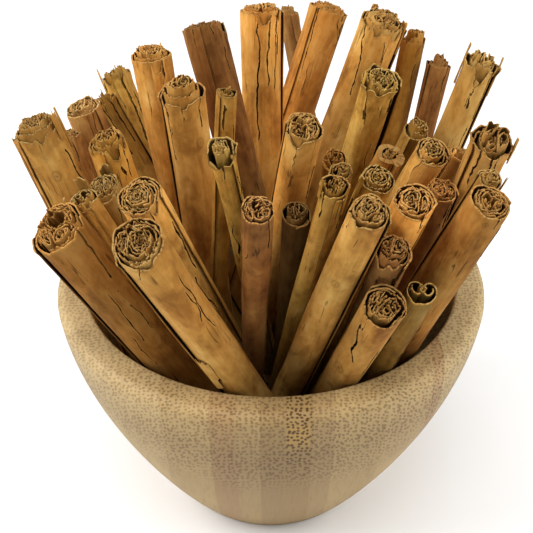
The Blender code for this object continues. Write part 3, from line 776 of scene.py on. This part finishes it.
def scroll_section(radius, seam, lobes, turns, gap):
    """One sheet with both edges rolled in, so that two scrolls meet at the seam."""
    seam = math.radians(seam)
    share = sum(lobes) / 2 / (1 - sum(lobes) / 2)
    spread = math.asin(min(0.97, share * 1.04))
    parts = []
    for way, lobe in ((-1, lobes[0] * radius), (1, lobes[1] * radius)):
        start = seam + way * -spread if way > 0 else seam + spread
        centre = (radius - lobe) * np.array([math.cos(start), math.sin(start)])
        turn = np.radians(np.arange(0, 360 * turns, 7.0))
        reach = np.clip(lobe - gap * turn / (2 * math.pi), 0.35 * MM, None)
        angle = start + way * turn
        part = centre + np.stack([reach * np.cos(angle), reach * np.sin(angle)], 1)
        parts.append(part if way > 0 else part[::-1])
    arc = np.linspace(seam + spread, seam + 2 * math.pi - spread, 90)[1:-1]
    back = radius * np.stack([np.cos(arc), np.sin(arc)], 1)
    return np.concatenate([parts[0], back, parts[1]])


def along_section(section):
    step = np.linalg.norm(np.diff(section, axis=0), axis=1)
    return np.concatenate([[0], np.cumsum(step)])


def spot(section, travel, angle):
    """How far along the section its outermost point at an angle lies."""
    bearing = np.arctan2(section[:, 1], section[:, 0])
    off = np.abs((bearing - math.radians(angle) + math.pi) % (2 * math.pi) - math.pi)
    reach = np.linalg.norm(section, axis=1)
    return travel[np.argmax(reach - off * reach.max() * 3)]


def shell_quads(keep):
    """Quads of a sheet's two faces and of the walls round its borders, for kept cells."""
    rows, columns = keep.shape
    number = np.arange((rows + 1) * (columns + 1)).reshape(rows + 1, columns + 1)
    back = number.size
    a, b = number[:-1, :-1], number[:-1, 1:]
    c, d = number[1:, 1:], number[1:, :-1]
    front = np.stack([a[keep], d[keep], c[keep], b[keep]], 1)
    parts = [front, front[:, ::-1] + back]
    padded = np.pad(keep, 1)
    for rolled, start, end in (
            (padded[:-2, 1:-1], b, a), (padded[2:, 1:-1], d, c),
            (padded[1:-1, :-2], a, d), (padded[1:-1, 2:], c, b)):
        border = keep & ~rolled
        first, last = start[border], end[border]
        parts.append(np.stack([last, first, first + back, last + back], 1))
    return np.concatenate(parts)


class Sway:
    """The uneven shape shared by every layer of one quill, as a share of the distance out."""

    def __init__(self, draw):
        self.waves = [(k, size * draw.uniform(0.4, 1.0), draw.uniform(0, 6.28), draw.uniform(-14, 14))
                      for k, size in ((2, 0.045), (3, 0.028), (4, 0.018), (5, 0.012), (7, 0.008))]

    def bend(self, across, depth):
        angle = np.arctan2(across[:, 1], across[:, 0])
        total = np.full(len(across), -0.03)
        for k, size, phase, twist in self.waves:
            total += size * np.cos(k * angle + phase + twist * depth)
        return across * (1 + total)[:, None]


def outer_sheet(stand, look, seed, draw, sway, column_width):
    """The full-length sheet of a quill, split, bitten and torn as its look says."""
    thick = look["thick"] * MM * (0.8 if stand.radius < 4.5 * MM else 1.0)
    radius = stand.radius * 0.985
    if look["roll"] == "wrap":
        section = wrap_section(radius, look["seam"], thick + 0.15 * MM, 75, look["lift"] * MM)
    else:
        section = scroll_section(radius, look["seam"], look["lobes"], look["curl"], thick + 0.3 * MM)
    travel = along_section(section)
    count = max(34, int(travel[-1] / column_width))
    rows = np.concatenate([np.arange(0, 6, 0.5), np.arange(6, 12, 1.0), np.arange(12, 58, 1.6),
                           np.arange(58, 80, 3.5), np.linspace(82, stand.length / MM, 5)]) * MM
    splits = []
    fine = []
    for order in range(look["splits"]):
        start = draw.choice((0, draw.uniform(2, 14), draw.uniform(14, 34)))
        fine.append((-72 + 144 * (order + draw.uniform(0.1, 0.9)) / look["splits"], start,
                     start + draw.uniform(7, 22), draw.uniform(0.25, 0.5), draw.uniform(-6, 6)))
    for angle, start, end, width, turn in tuple(look["cracks"]) + tuple(fine):
        middle = spot(section, travel, angle)
        splits.append([middle, start * MM, end * MM, width * MM, math.radians(turn) * radius])
    splits.sort()
    steps = np.arange(count + 1.0)
    anchors = [(0, np.zeros(len(rows)))]
    openings = []
    for order, (middle, start, end, width, turn) in enumerate(splits):
        column = int(round(middle / travel[-1] * count))
        column = max(column, anchors[-1][0] + 2)
        if column > count - 3:
            continue
        down = np.clip((rows - start) / max(end - start, MM), 0, 1)
        path = middle + turn * down + 0.7 * MM * wander(seed + 7 * order, rows / (5 * MM), 0.5)
        path += 0.35 * MM * wander(seed + 7 * order + 3, rows / (1.8 * MM), 0.5)
        taper = np.sqrt(1 - down) if start <= 0 else np.sqrt(np.sin(math.pi * down))
        live = (rows >= start - 0.1 * MM) & (rows <= end)
        jag = 1 + 0.5 * wander(seed + 31 + order, rows / (1.6 * MM), 2.5)
        half = np.where(live, np.maximum(width * 0.30 * taper * jag, 0.02 * MM), 0.02 * MM)
        anchors += [(column, path - half), (column + 1, path + half)]
        openings.append((column, half > 0.05 * MM, path, max(width, 0.35 * MM)))
    anchors.append((count, np.full(len(rows), travel[-1])))
    marks = [mark for mark, _ in anchors]
    place = np.array([np.interp(steps, marks, [path[row] for _, path in anchors])
                      for row in range(len(rows))])
    place = np.maximum.accumulate(np.clip(place, 0, travel[-1]), axis=1)

    top = look["ragged"] * MM * (0.55 * wander(seed + 1, place[0] / (2.6 * MM), 0.5)
                                 + 0.45 * wander(seed + 2, place[0] / (0.9 * MM), 0.5))
    top = np.clip(top, -0.9 * MM, None) + 0.3 * MM
    top += np.random.RandomState(seed + 3).uniform(-0.12, 0.12, count + 1) * MM * look["ragged"]
    low_side, amount = look["drop"]
    bearing = 2 * math.pi * (place[0] - spot(section, travel, low_side)) / (2 * math.pi * radius)
    top += amount * MM * (0.5 + 0.5 * np.cos(bearing))
    for angle, width, depth in look["bites"]:
        off = np.abs(place[0] - spot(section, travel, angle)) / (width / 2 * MM)
        top += depth * MM * np.clip(1.25 - off ** 2, 0, 1)
    fade = np.clip(1 - rows[:, None] / (9 * MM + 3 * np.maximum(top, 0)[None, :]), 0, 1) ** 1.5
    depth = rows[:, None] + top[None, :] * fade
    depth[0] = top

    across = np.stack([np.interp(place, travel, section[:, 0]), np.interp(place, travel, section[:, 1])], -1)
    slope = np.gradient(section, travel, axis=0)
    outward = np.stack([np.interp(place, travel, slope[:, 1]), -np.interp(place, travel, slope[:, 0])], -1)
    outward /= np.maximum(np.linalg.norm(outward, axis=-1, keepdims=True), 1e-9)
    bump = 0.12 * MM * wander(seed + 4, place / (1.9 * MM), depth / (17 * MM))
    bump += 0.07 * MM * wander(seed + 5, place / (0.95 * MM), depth / (9 * MM))
    bump += 0.25 * MM * wander(seed + 6, place / (4.5 * MM), depth / (26 * MM))
    near_top = np.clip(1 - (depth - top[None, :]) / (5 * MM), 0, 1)
    bump += near_top * 0.30 * MM * look["ragged"] * wander(seed + 8, place / (2.4 * MM), depth / (4 * MM))
    bump += near_top * 0.14 * MM * wander(seed + 11, place / (1.1 * MM), depth / (2 * MM))
    petal = np.clip(0.6 + wander(seed + 10, place / (3.1 * MM), 0.5), 0, 1.4)
    bump += look["flare"] * MM * near_top ** 2 * petal
    bump += look["broad"] * MM * np.clip(1 - depth / (70 * MM), 0, 1)
    edge = (depth - top[None, :]) / (3 * MM)
    rift = np.full(depth.shape, 3.0)
    for column, open_rows, path, width in openings:
        off = place - path[:, None]
        curl = np.exp(-(off / (1.0 * MM)) ** 2) * open_rows[:, None]
        bump += 0.25 * MM * curl * np.where(off > 0, 1.0, 0.2)
        rift = np.where(open_rows[:, None], np.minimum(rift, np.abs(off) / width), rift)
    keep = np.ones((len(rows) - 1, count), bool)
    for column, open_rows, _, _ in openings:
        keep[open_rows[:-1] & open_rows[1:], column] = False
    cell_place = (place[:-1, :-1] + place[1:, 1:]) / 2
    cell_depth = (depth[:-1, :-1] + depth[1:, 1:]) / 2
    for angle, start, end, width in look["torn"]:
        middle = spot(section, travel, angle)
        down = (cell_depth - start * MM) / ((end - start) * MM)
        half = width / 2 * MM * np.sqrt(np.clip(np.sin(math.pi * np.clip(down, 0, 1)), 0, 1))
        half *= 1 + 0.5 * wander(seed + 12, cell_depth / (2.2 * MM), 0.5)
        keep &= ~((np.abs(cell_place - middle) < half) & (down > 0) & (down < 1))
    knot = np.full(depth.shape, 9.0)
    for angle, at, size in look["knots"]:
        off = np.hypot(place - spot(section, travel, angle), (depth - at * MM) * 0.8) / (size * MM)
        knot = np.minimum(knot, off)
        bump += 0.22 * MM * np.exp(-(off / 0.8) ** 2) - 0.3 * MM * np.exp(-(off / 0.3) ** 2)
    outer = across + outward * bump[..., None]
    wall = thick * (1 + 0.15 * wander(seed + 9, place / (4 * MM), depth / (11 * MM))
                    + 0.35 * near_top * wander(seed + 13, place / (1.2 * MM), 0.5))
    inner = outer - outward * wall[..., None]
    bend = (draw.uniform(0.1, 0.35) * MM, draw.uniform(0, 2 * math.pi))
    flat_depth = depth.ravel()
    points = [stand.place(sway.bend(face.reshape(-1, 2), flat_depth), flat_depth, bend)
              for face in (outer, inner)]
    # inside: how strongly the bark paints shade below the head's edge; full on the sheet's inner face, none on its
    # outer face
    inside = np.repeat([0.0, 1.0], flat_depth.size)
    lip = np.clip(1 - 4 * np.tile(np.clip(edge, 0, 1).ravel(), 2), 0, 1)
    # painted shade: each sheet darkens from 45 mm down towards the bowl, for the shade the quills cast on each
    # other there
    low = 1 - 0.35 * np.clip((np.tile(flat_depth, 2) - 45 * MM) / (50 * MM), 0, 1)
    shade = low * look["shade"] + (look["heart"] - look["shade"]) * lip
    sheet = dict(shade=shade, along=np.tile(flat_depth, 2), around=np.tile(place.ravel(), 2), inside=inside,
                 edge=np.tile(np.clip(edge, 0, 1).ravel(), 2), rift=np.tile(rift.ravel(), 2),
                 knot=np.tile(knot.ravel(), 2))
    return np.concatenate(points), shell_quads(keep), sheet, bend, section


def shell_of(mesh, thick, seed):
    """Both faces and the rim of an open sheet, as points and quads, with its stored values."""
    count = len(mesh.vertices)
    points = np.zeros(count * 3)
    mesh.vertices.foreach_get("co", points)
    points = points.reshape(-1, 3)
    normals = np.zeros(count * 3)
    mesh.vertices.foreach_get("normal", normals)
    normals = normals.reshape(-1, 3)
    faces = np.zeros(len(mesh.polygons) * 4, int)
    mesh.polygons.foreach_get("vertices", faces)
    faces = faces.reshape(-1, 4)
    sides = np.concatenate([faces[:, [0, 1]], faces[:, [1, 2]], faces[:, [2, 3]], faces[:, [3, 0]]])
    ordered = np.sort(sides, axis=1)
    _, inverse, uses = np.unique(ordered, axis=0, return_inverse=True, return_counts=True)
    rim = sides[uses[inverse.ravel()] == 1]
    quads = np.concatenate([
        faces, faces[:, ::-1] + count,
        np.stack([rim[:, 1], rim[:, 0], rim[:, 0] + count, rim[:, 1] + count], 1)])
    values = {}
    for name in ("along", "around"):
        stored = np.zeros(count)
        mesh.attributes[name].data.foreach_get("value", stored)
        values[name] = np.tile(stored, 2)
    wall = thick * (1 + 0.65 * wander(seed, values["around"][:count] / (0.8 * MM), values["along"][:count] / MM))
    return np.concatenate([points, points - normals * wall[:, None]]), quads, values


def room_inside(section, clear):
    """How far the space within a rolled sheet reaches from the quill's axis, degree by degree."""
    bearing = np.degrees(np.arctan2(section[:, 1], section[:, 0])).round().astype(int) % 360
    reach = np.linalg.norm(section, axis=1)
    room = np.full(360, reach.max())
    for shift in range(-3, 4):
        np.minimum.at(room, (bearing + shift) % 360, reach)
    return np.convolve(np.concatenate([room[-4:], room, room[:4]]), np.ones(9) / 9, "valid") - clear


def cell_reach(angle, centre, size, room, others):
    """How far a roll can spread from its centre at each angle, pressed by the sheet and its neighbours."""
    out = np.stack([np.cos(angle), np.sin(angle)], -1)
    along = out @ centre
    spread = np.full(len(along), room.mean())
    for _ in range(4):
        tip = centre + spread[:, None] * out
        wall = room[np.degrees(np.arctan2(tip[:, 1], tip[:, 0])).round().astype(int) % 360]
        spread = -along + np.sqrt(np.maximum(along ** 2 - centre @ centre + wall ** 2, (0.3 * MM) ** 2))
    limits = [spread]
    for other, other_size in others:
        between = other - centre
        apart = max(np.linalg.norm(between), 0.1 * MM)
        face = (apart ** 2 + size ** 2 - other_size ** 2) / (2 * apart)
        facing = out @ between / apart
        limits.append(np.where(facing > 0.02, np.maximum(face, 0.4 * MM) / np.maximum(facing, 0.02), 1.0))
    return sum(limit ** -9.0 for limit in limits) ** (-1 / 9)


class Head:
    """What every inner roll of one quill shares."""

    def __init__(self, sheets, tree, stand, sway, bend, look, draw, shift):
        self.sheets, self.tree, self.stand, self.sway = sheets, tree, stand, sway
        self.bend, self.look, self.draw, self.shift = bend, look, draw, shift

    def add(self, centre, settings, thick, rise, reach=None, dome=0.0, inside=0.9, shade=None):
        """One roll or strip of bark, grown by the node tree, pressed to its room and set in place."""
        base = bpy.data.objects.new("roll_base", bpy.data.meshes.new("roll_base"))
        mesh = grown(base, self.tree, {"Seed": self.draw.uniform(0, 90), **settings})
        outer = settings["Outer Radius"]
        count = len(mesh.vertices)
        points = np.zeros(count * 3)
        mesh.vertices.foreach_get("co", points)
        points = points.reshape(-1, 3)
        if reach is not None:
            angle = np.arctan2(points[:, 1], points[:, 0])
            points[:, :2] *= (reach(angle) / outer)[:, None]
        points[:, :2] += centre
        share = np.linalg.norm(points[:, :2], axis=1) / self.stand.radius
        points[:, 2] += dome * (1 - share ** 2)
        mesh.vertices.foreach_set("co", points.ravel())
        mesh.update()
        points, quads, values = shell_of(mesh, thick, self.draw.randrange(9999))
        bpy.data.meshes.remove(mesh)
        depth = -points[:, 2] - rise
        across = self.sway.bend(points[:, :2], depth)
        edge = np.clip(values["along"] / (3 * MM), 0, 1)
        # inside: how strongly the bark paints shade below each roll's edge; the outermost face of a roll takes
        # little
        outermost = (values["around"] < 2 * math.pi * outer) & (np.arange(2 * count) < count)
        inside = np.where(outermost, 0.1, inside)
        shade = shade or np.where(outermost, (self.look["shade"] + self.look["heart"]) / 2, self.look["heart"])
        self.sheets.add(
            self.stand.place(across, depth, self.bend), quads, along=values["along"] + self.shift,
            around=values["around"] + self.shift * 3 + self.draw.uniform(0, 0.01), inside=inside,
            edge=edge, rift=3.0, knot=9.0, shade=shade, tint=self.look["tint"])

    def fill(self, section, thick):
        """The rolls pressed together inside the head."""
        look, stand, draw = self.look, self.stand, self.draw
        room = room_inside(section, thick + 0.1 * MM)
        pitch = look["pitch"] * MM * (0.86 if stand.radius < 5 * MM else 1.0)
        turns = look["rings"] * (0.7 if stand.radius < 5 * MM else 1.0)
        room = room + look["broad"] * MM
        if turns:
            wall, mean = room, room.mean()
            self.add(np.zeros(2), {
                "Outer Radius": mean, "Inner Radius": mean - turns * pitch, "Turns": turns,
                "Start": draw.uniform(0, 6.28), "Length": 15 * MM, "Ragged": (0.4 + 0.5 * look["ragged"]) * MM,
                "Crinkle": 0.34 * MM, "Columns": int(6.3 * mean * turns / (0.36 * MM)), "Rows": 6},
                0.34 * MM, 0.0, lambda angle: wall[np.degrees(angle).round().astype(int) % 360])
            room = room - turns * pitch
        cells = []
        for angle, out, size, hollow, rise in look["fill"]:
            angle = math.radians(angle)
            centre = out * stand.radius * np.array([math.cos(angle), math.sin(angle)])
            centre *= min(1.0, (room.min() - 0.6 * MM) / max(np.linalg.norm(centre), 0.1 * MM))
            cells.append((centre, size * stand.radius, hollow, rise))
        for number, (centre, size, hollow, rise) in enumerate(cells):
            others = [cell[:2] for place, cell in enumerate(cells) if place != number]

            def reach(angle):
                return cell_reach(angle, centre, size, room, others)

            mean = float(reach(np.linspace(0, 2 * math.pi, 24)).mean())
            turns = max(1.15, (1 - hollow) * mean / pitch)
            length = math.pi * mean * (1 + hollow) * turns
            self.add(centre, {
                "Outer Radius": mean, "Inner Radius": max(mean * hollow, 0.3 * MM),
                "Turns": turns, "Start": draw.uniform(0, 6.28), "Length": 15 * MM,
                "Ragged": (0.45 + 0.5 * look["ragged"]) * MM, "Crinkle": 0.40 * MM,
                "Columns": max(16, int(length / (0.31 * MM))), "Rows": 6},
                0.32 * MM, (rise + 0.1) * MM, reach, look["dome"] * MM, inside=0.9 - 0.6 * hollow)
        self.crumble(room)

    def crumble(self, room):
        """Broken curls of bark caught between the rolls."""
        look, stand, draw = self.look, self.stand, self.draw
        for _ in range(look["crumbs"]):
            angle = draw.uniform(0, 2 * math.pi)
            out = room.min() * math.sqrt(draw.uniform(0.02, 0.9))
            curl = draw.uniform(0.5, 1.5) * MM
            self.add(out * np.array([math.cos(angle), math.sin(angle)]), {
                "Outer Radius": curl, "Inner Radius": curl * 0.7, "Turns": draw.uniform(0.2, 0.6),
                "Start": draw.uniform(0, 6.28), "Length": draw.uniform(2, 4) * MM,
                "Ragged": 0.9 * MM, "Crinkle": 0.2 * MM, "Columns": 6, "Rows": 3},
                0.3 * MM, draw.uniform(-0.4, 0.8) * MM + look["dome"] * MM * (1 - (out / stand.radius) ** 2),
                inside=0.5)


def add_slivers(head):
    """Strips of bark that stand off the outside of the quill."""
    stand = head.stand
    for angle, start, end, width, lift in head.look["slivers"]:
        angle = math.radians(angle)
        reach = width * MM * 0.75
        out = stand.radius * 0.985 + (lift - 0.75) * MM * 0.35
        centre = (out - reach * 0.6) * np.array([math.cos(angle), math.sin(angle)])
        head.add(centre, {
            "Outer Radius": reach, "Inner Radius": reach * 0.85, "Turns": 0.30,
            "Start": angle - 0.30 * math.pi, "Length": (end - start) * MM,
            "Ragged": 1.2 * MM, "Crinkle": 0.12 * MM, "Columns": 6, "Rows": 9},
            0.25 * MM, -start * MM, inside=0.2, shade=1.05 * head.look["shade"])


# ------------------------------------------------------------------ the bowl's form

def curve(start, near_start, near_end, end, steps):
    t = np.linspace(0, 1, steps + 1)[:, None]
    start, near_start, near_end, end = map(np.array, (start, near_start, near_end, end))
    u = 1 - t
    return u ** 3 * start + 3 * u * u * t * near_start + 3 * u * t * t * near_end + t ** 3 * end


def round_corner(centre_r, centre_z, radius, low, high, steps):
    angle = np.radians(np.linspace(low, high, steps + 1))
    return np.stack([centre_r + radius * np.cos(angle), centre_z + radius * np.sin(angle)], 1)


def bowl_profile(rim_radius, height, mouth, foot):
    """(radius, height) points from the middle of the foot, round the rim, to the middle of the floor."""
    low = (foot, 1.2 * MM)
    high = (rim_radius, height - 3.3 * MM)
    outside = curve(low, (low[0] + 2 * MM, low[1] + 1.2 * MM), (high[0] - 2.8 * MM, high[1] - 35 * MM), high, 34)
    rim_outside = round_corner(rim_radius - 3.3 * MM, height - 3.3 * MM, 3.3 * MM, 0, 90, 7)
    rim_inside = round_corner(mouth + 1.2 * MM, height - 1.2 * MM, 1.2 * MM, 90, 180, 4)
    floor = (26 * MM, 9 * MM)
    top = (mouth, height - 1.2 * MM)
    inside = curve(floor, (floor[0] + 11 * MM, floor[1] + 1 * MM), (top[0] - 1.8 * MM, top[1] - 34.8 * MM), top, 22)
    base = np.array([(0.0, 0.0), (foot - 8 * MM, 0.0), (foot - 1.2 * MM, 0.0), (foot - 0.35 * MM, 0.35 * MM)])
    middle = np.array([(12 * MM, 9 * MM), (0.0, 9 * MM)])
    return np.concatenate([base, outside, rim_outside[1:], rim_inside, inside[-2::-1], middle])


# ------------------------------------------------------------------ settings and operators

class BowlSettings(bpy.types.PropertyGroup):
    """Sizes of the bowl."""
    low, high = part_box("bowl")
    radius: bpy.props.FloatProperty(
        name="Radius", description="Outer radius at the rim", default=high.x, min=0.01,
        subtype="DISTANCE", unit="LENGTH")
    height: bpy.props.FloatProperty(
        name="Height", description="Height from foot to rim", default=high.z, min=0.01,
        subtype="DISTANCE", unit="LENGTH")
    mouth: bpy.props.FloatProperty(
        name="Mouth", description="Inner radius at the rim", default=60.3 * MM, min=0.005,
        subtype="DISTANCE", unit="LENGTH")
    foot: bpy.props.FloatProperty(
        name="Foot", description="Radius of the foot", default=35 * MM, min=0.005,
        subtype="DISTANCE", unit="LENGTH")
    sides: bpy.props.IntProperty(
        name="Sides", description="Steps round the turned form", default=168, min=24)


class QuillSettings(bpy.types.PropertyGroup):
    """How finely the quills are made."""
    column_width: bpy.props.FloatProperty(
        name="Column width", description="Width of one column of a sheet's mesh",
        default=0.58 * MM, min=0.1 * MM, subtype="DISTANCE", unit="LENGTH")
    seed: bpy.props.IntProperty(
        name="Seed", description="Start of every random draw", default=12, min=0)


class StageSettings(bpy.types.PropertyGroup):
    """The floor and the light."""
    floor_colour: bpy.props.FloatVectorProperty(
        name="Floor colour", description="Colour of the floor", default=(0.9, 0.9, 0.9),
        subtype="COLOR", min=0.0, max=1.0)
    key_power: bpy.props.FloatProperty(
        name="Key light", description="Power of the large soft light at the upper left",
        default=7.0, min=0.0, unit="POWER")
    sky: bpy.props.FloatProperty(
        name="Sky", description="Strength of the even light from all round", default=0.6, min=0.0)


def show(piece, node):
    """Puts a finished piece under the root body and hides the solid that it stands in for."""
    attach(piece, "root")
    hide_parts(node)


class QUILLS_OT_bowl(bpy.types.Operator):
    """Turns the bamboo bowl"""
    bl_idname = "quills.bowl"
    bl_label = "Make the bowl"

    def execute(self, context):
        given = context.scene.quills_bowl
        profile = bowl_profile(given.radius, given.height, given.mouth, given.foot)
        drawn = bpy.data.meshes.new("profile")
        drawn.from_pydata([(r, 0.0, z) for r, z in profile], [], [])
        base = bpy.data.objects.new("profile", drawn)
        mesh = grown(base, turned_tree(), {"Sides": given.sides, "Points": len(profile)})
        made = bpy.data.objects.new("bamboo_bowl", mesh)
        bpy.context.scene.collection.objects.link(made)
        mesh.materials.clear()
        mesh.materials.append(bamboo_material())
        mesh.shade_smooth()
        mesh.set_sharp_from_angle(angle=math.radians(45))
        show(made, "bowl")
        return {"FINISHED"}


class QUILLS_OT_quills(bpy.types.Operator):
    """Rolls every quill of bark, with its cracks, torn edges and inner rolls"""
    bl_idname = "quills.quills"
    bl_label = "Make the quills"

    def execute(self, context):
        given = context.scene.quills_quills
        slots = {part["node"]: part["material_slot"] for part in frame["record"]["subparts"]}
        materials = {name: bark_material(name, colours) for name, colours in BARKS.items()}
        tree = roll_tree()
        for number, (name, special) in enumerate(LOOKS.items()):
            look = {**PLAIN_LOOK, **special}
            seed = given.seed * 1000 + number * 40
            draw = random.Random(seed)
            stand = Stand(frame["nodes"][name], look)
            sway = Sway(draw)
            sheets = Sheets()
            points, quads, values, bend, section = outer_sheet(
                stand, look, seed, draw, sway, given.column_width)
            shift = number * 0.0371
            values["along"] = values["along"] + shift
            values["around"] = values["around"] + shift * 3
            sheets.add(points, quads, tint=look["tint"], **values)
            head = Head(sheets, tree, stand, sway, bend, look, draw, shift)
            head.fill(section, look["thick"] * MM)
            add_slivers(head)
            piece = sheets.build(name + "_bark", materials[slots[name]])
            show(piece, name)
        return {"FINISHED"}


class QUILLS_OT_stage(bpy.types.Operator):
    """Sets the floor, the lights and the camera"""
    bl_idname = "quills.stage"
    bl_label = "Make the stage"

    def execute(self, context):
        given = context.scene.quills_stage
        mesh = bpy.data.meshes.new("floor")
        reach = 3.0
        mesh.from_pydata([(-reach, -reach, 0), (reach, -reach, 0), (reach, reach, 0), (-reach, reach, 0)],
                         [], [(0, 1, 2, 3)])
        made, nodes, shader = new_material("floor")
        shader.inputs["Base Color"].default_value = (*given.floor_colour, 1.0)
        shader.inputs["Roughness"].default_value = 0.9
        mesh.materials.append(made)
        floor = bpy.data.objects.new("floor", mesh)
        context.scene.collection.objects.link(floor)
        world = bpy.data.worlds.new("sky")
        world.use_nodes = True
        world.node_tree.nodes["Background"].inputs["Color"].default_value = (1.0, 1.0, 1.0, 1.0)
        world.node_tree.nodes["Background"].inputs["Strength"].default_value = given.sky
        context.scene.world = world
        for name, place, size, power in (
                ("key", (-0.65, -0.10, 0.65), 0.6, given.key_power),
                ("fill", (0.70, -0.10, 0.55), 0.6, given.key_power * 0.6),
                ("top", (0.0, -0.25, 0.95), 0.5, given.key_power * 0.35)):
            lamp = bpy.data.lights.new(name, "AREA")
            lamp.shape = "DISK"
            lamp.size = size
            lamp.energy = power
            holder = bpy.data.objects.new(name, lamp)
            holder.location = place
            aim = Vector((0, 0, 0.09)) - Vector(place)
            holder.rotation_euler = aim.to_track_quat("-Z", "Y").to_euler()
            context.scene.collection.objects.link(holder)
        lens = bpy.data.cameras.new("camera")
        lens.sensor_width = 36.0
        lens.lens = 69.6
        lens.shift_x = -0.0084
        camera = bpy.data.objects.new("camera", lens)
        camera.location = (0.0, -0.2761, 0.2859)
        camera.rotation_euler = (math.radians(54.3), 0.0, 0.0)
        context.scene.collection.objects.link(camera)
        context.scene.camera = camera
        context.scene.view_settings.view_transform = "Standard"
        return {"FINISHED"}


class QUILLS_PT_panel(bpy.types.Panel):
    """Lists the settings and the steps."""
    bl_idname = "QUILLS_PT_panel"
    bl_label = "Cinnamon quills"
    bl_space_type = "VIEW_3D"
    bl_region_type = "UI"
    bl_category = "Quills"

    def draw(self, context):
        for group, step, names in (
                (context.scene.quills_bowl, "quills.bowl", ("radius", "height", "mouth", "foot", "sides")),
                (context.scene.quills_quills, "quills.quills", ("column_width", "seed")),
                (context.scene.quills_stage, "quills.stage", ("floor_colour", "key_power", "sky"))):
            box = self.layout.box()
            for name in names:
                box.prop(group, name)
            box.operator(step)


CLASSES = (BowlSettings, QuillSettings, StageSettings, QUILLS_OT_bowl, QUILLS_OT_quills,
           QUILLS_OT_stage, QUILLS_PT_panel)


def register():
    for item in CLASSES:
        bpy.utils.register_class(item)
    bpy.types.Scene.quills_bowl = bpy.props.PointerProperty(type=BowlSettings)
    bpy.types.Scene.quills_quills = bpy.props.PointerProperty(type=QuillSettings)
    bpy.types.Scene.quills_stage = bpy.props.PointerProperty(type=StageSettings)


def unregister():
    for name in ("quills_bowl", "quills_quills", "quills_stage"):
        delattr(bpy.types.Scene, name)
    for item in reversed(CLASSES):
        bpy.utils.unregister_class(item)


def main():
    register()
    bpy.ops.quills.bowl()
    bpy.ops.quills.quills()
    bpy.ops.quills.stage()


if __name__ == "__main__":
    main()
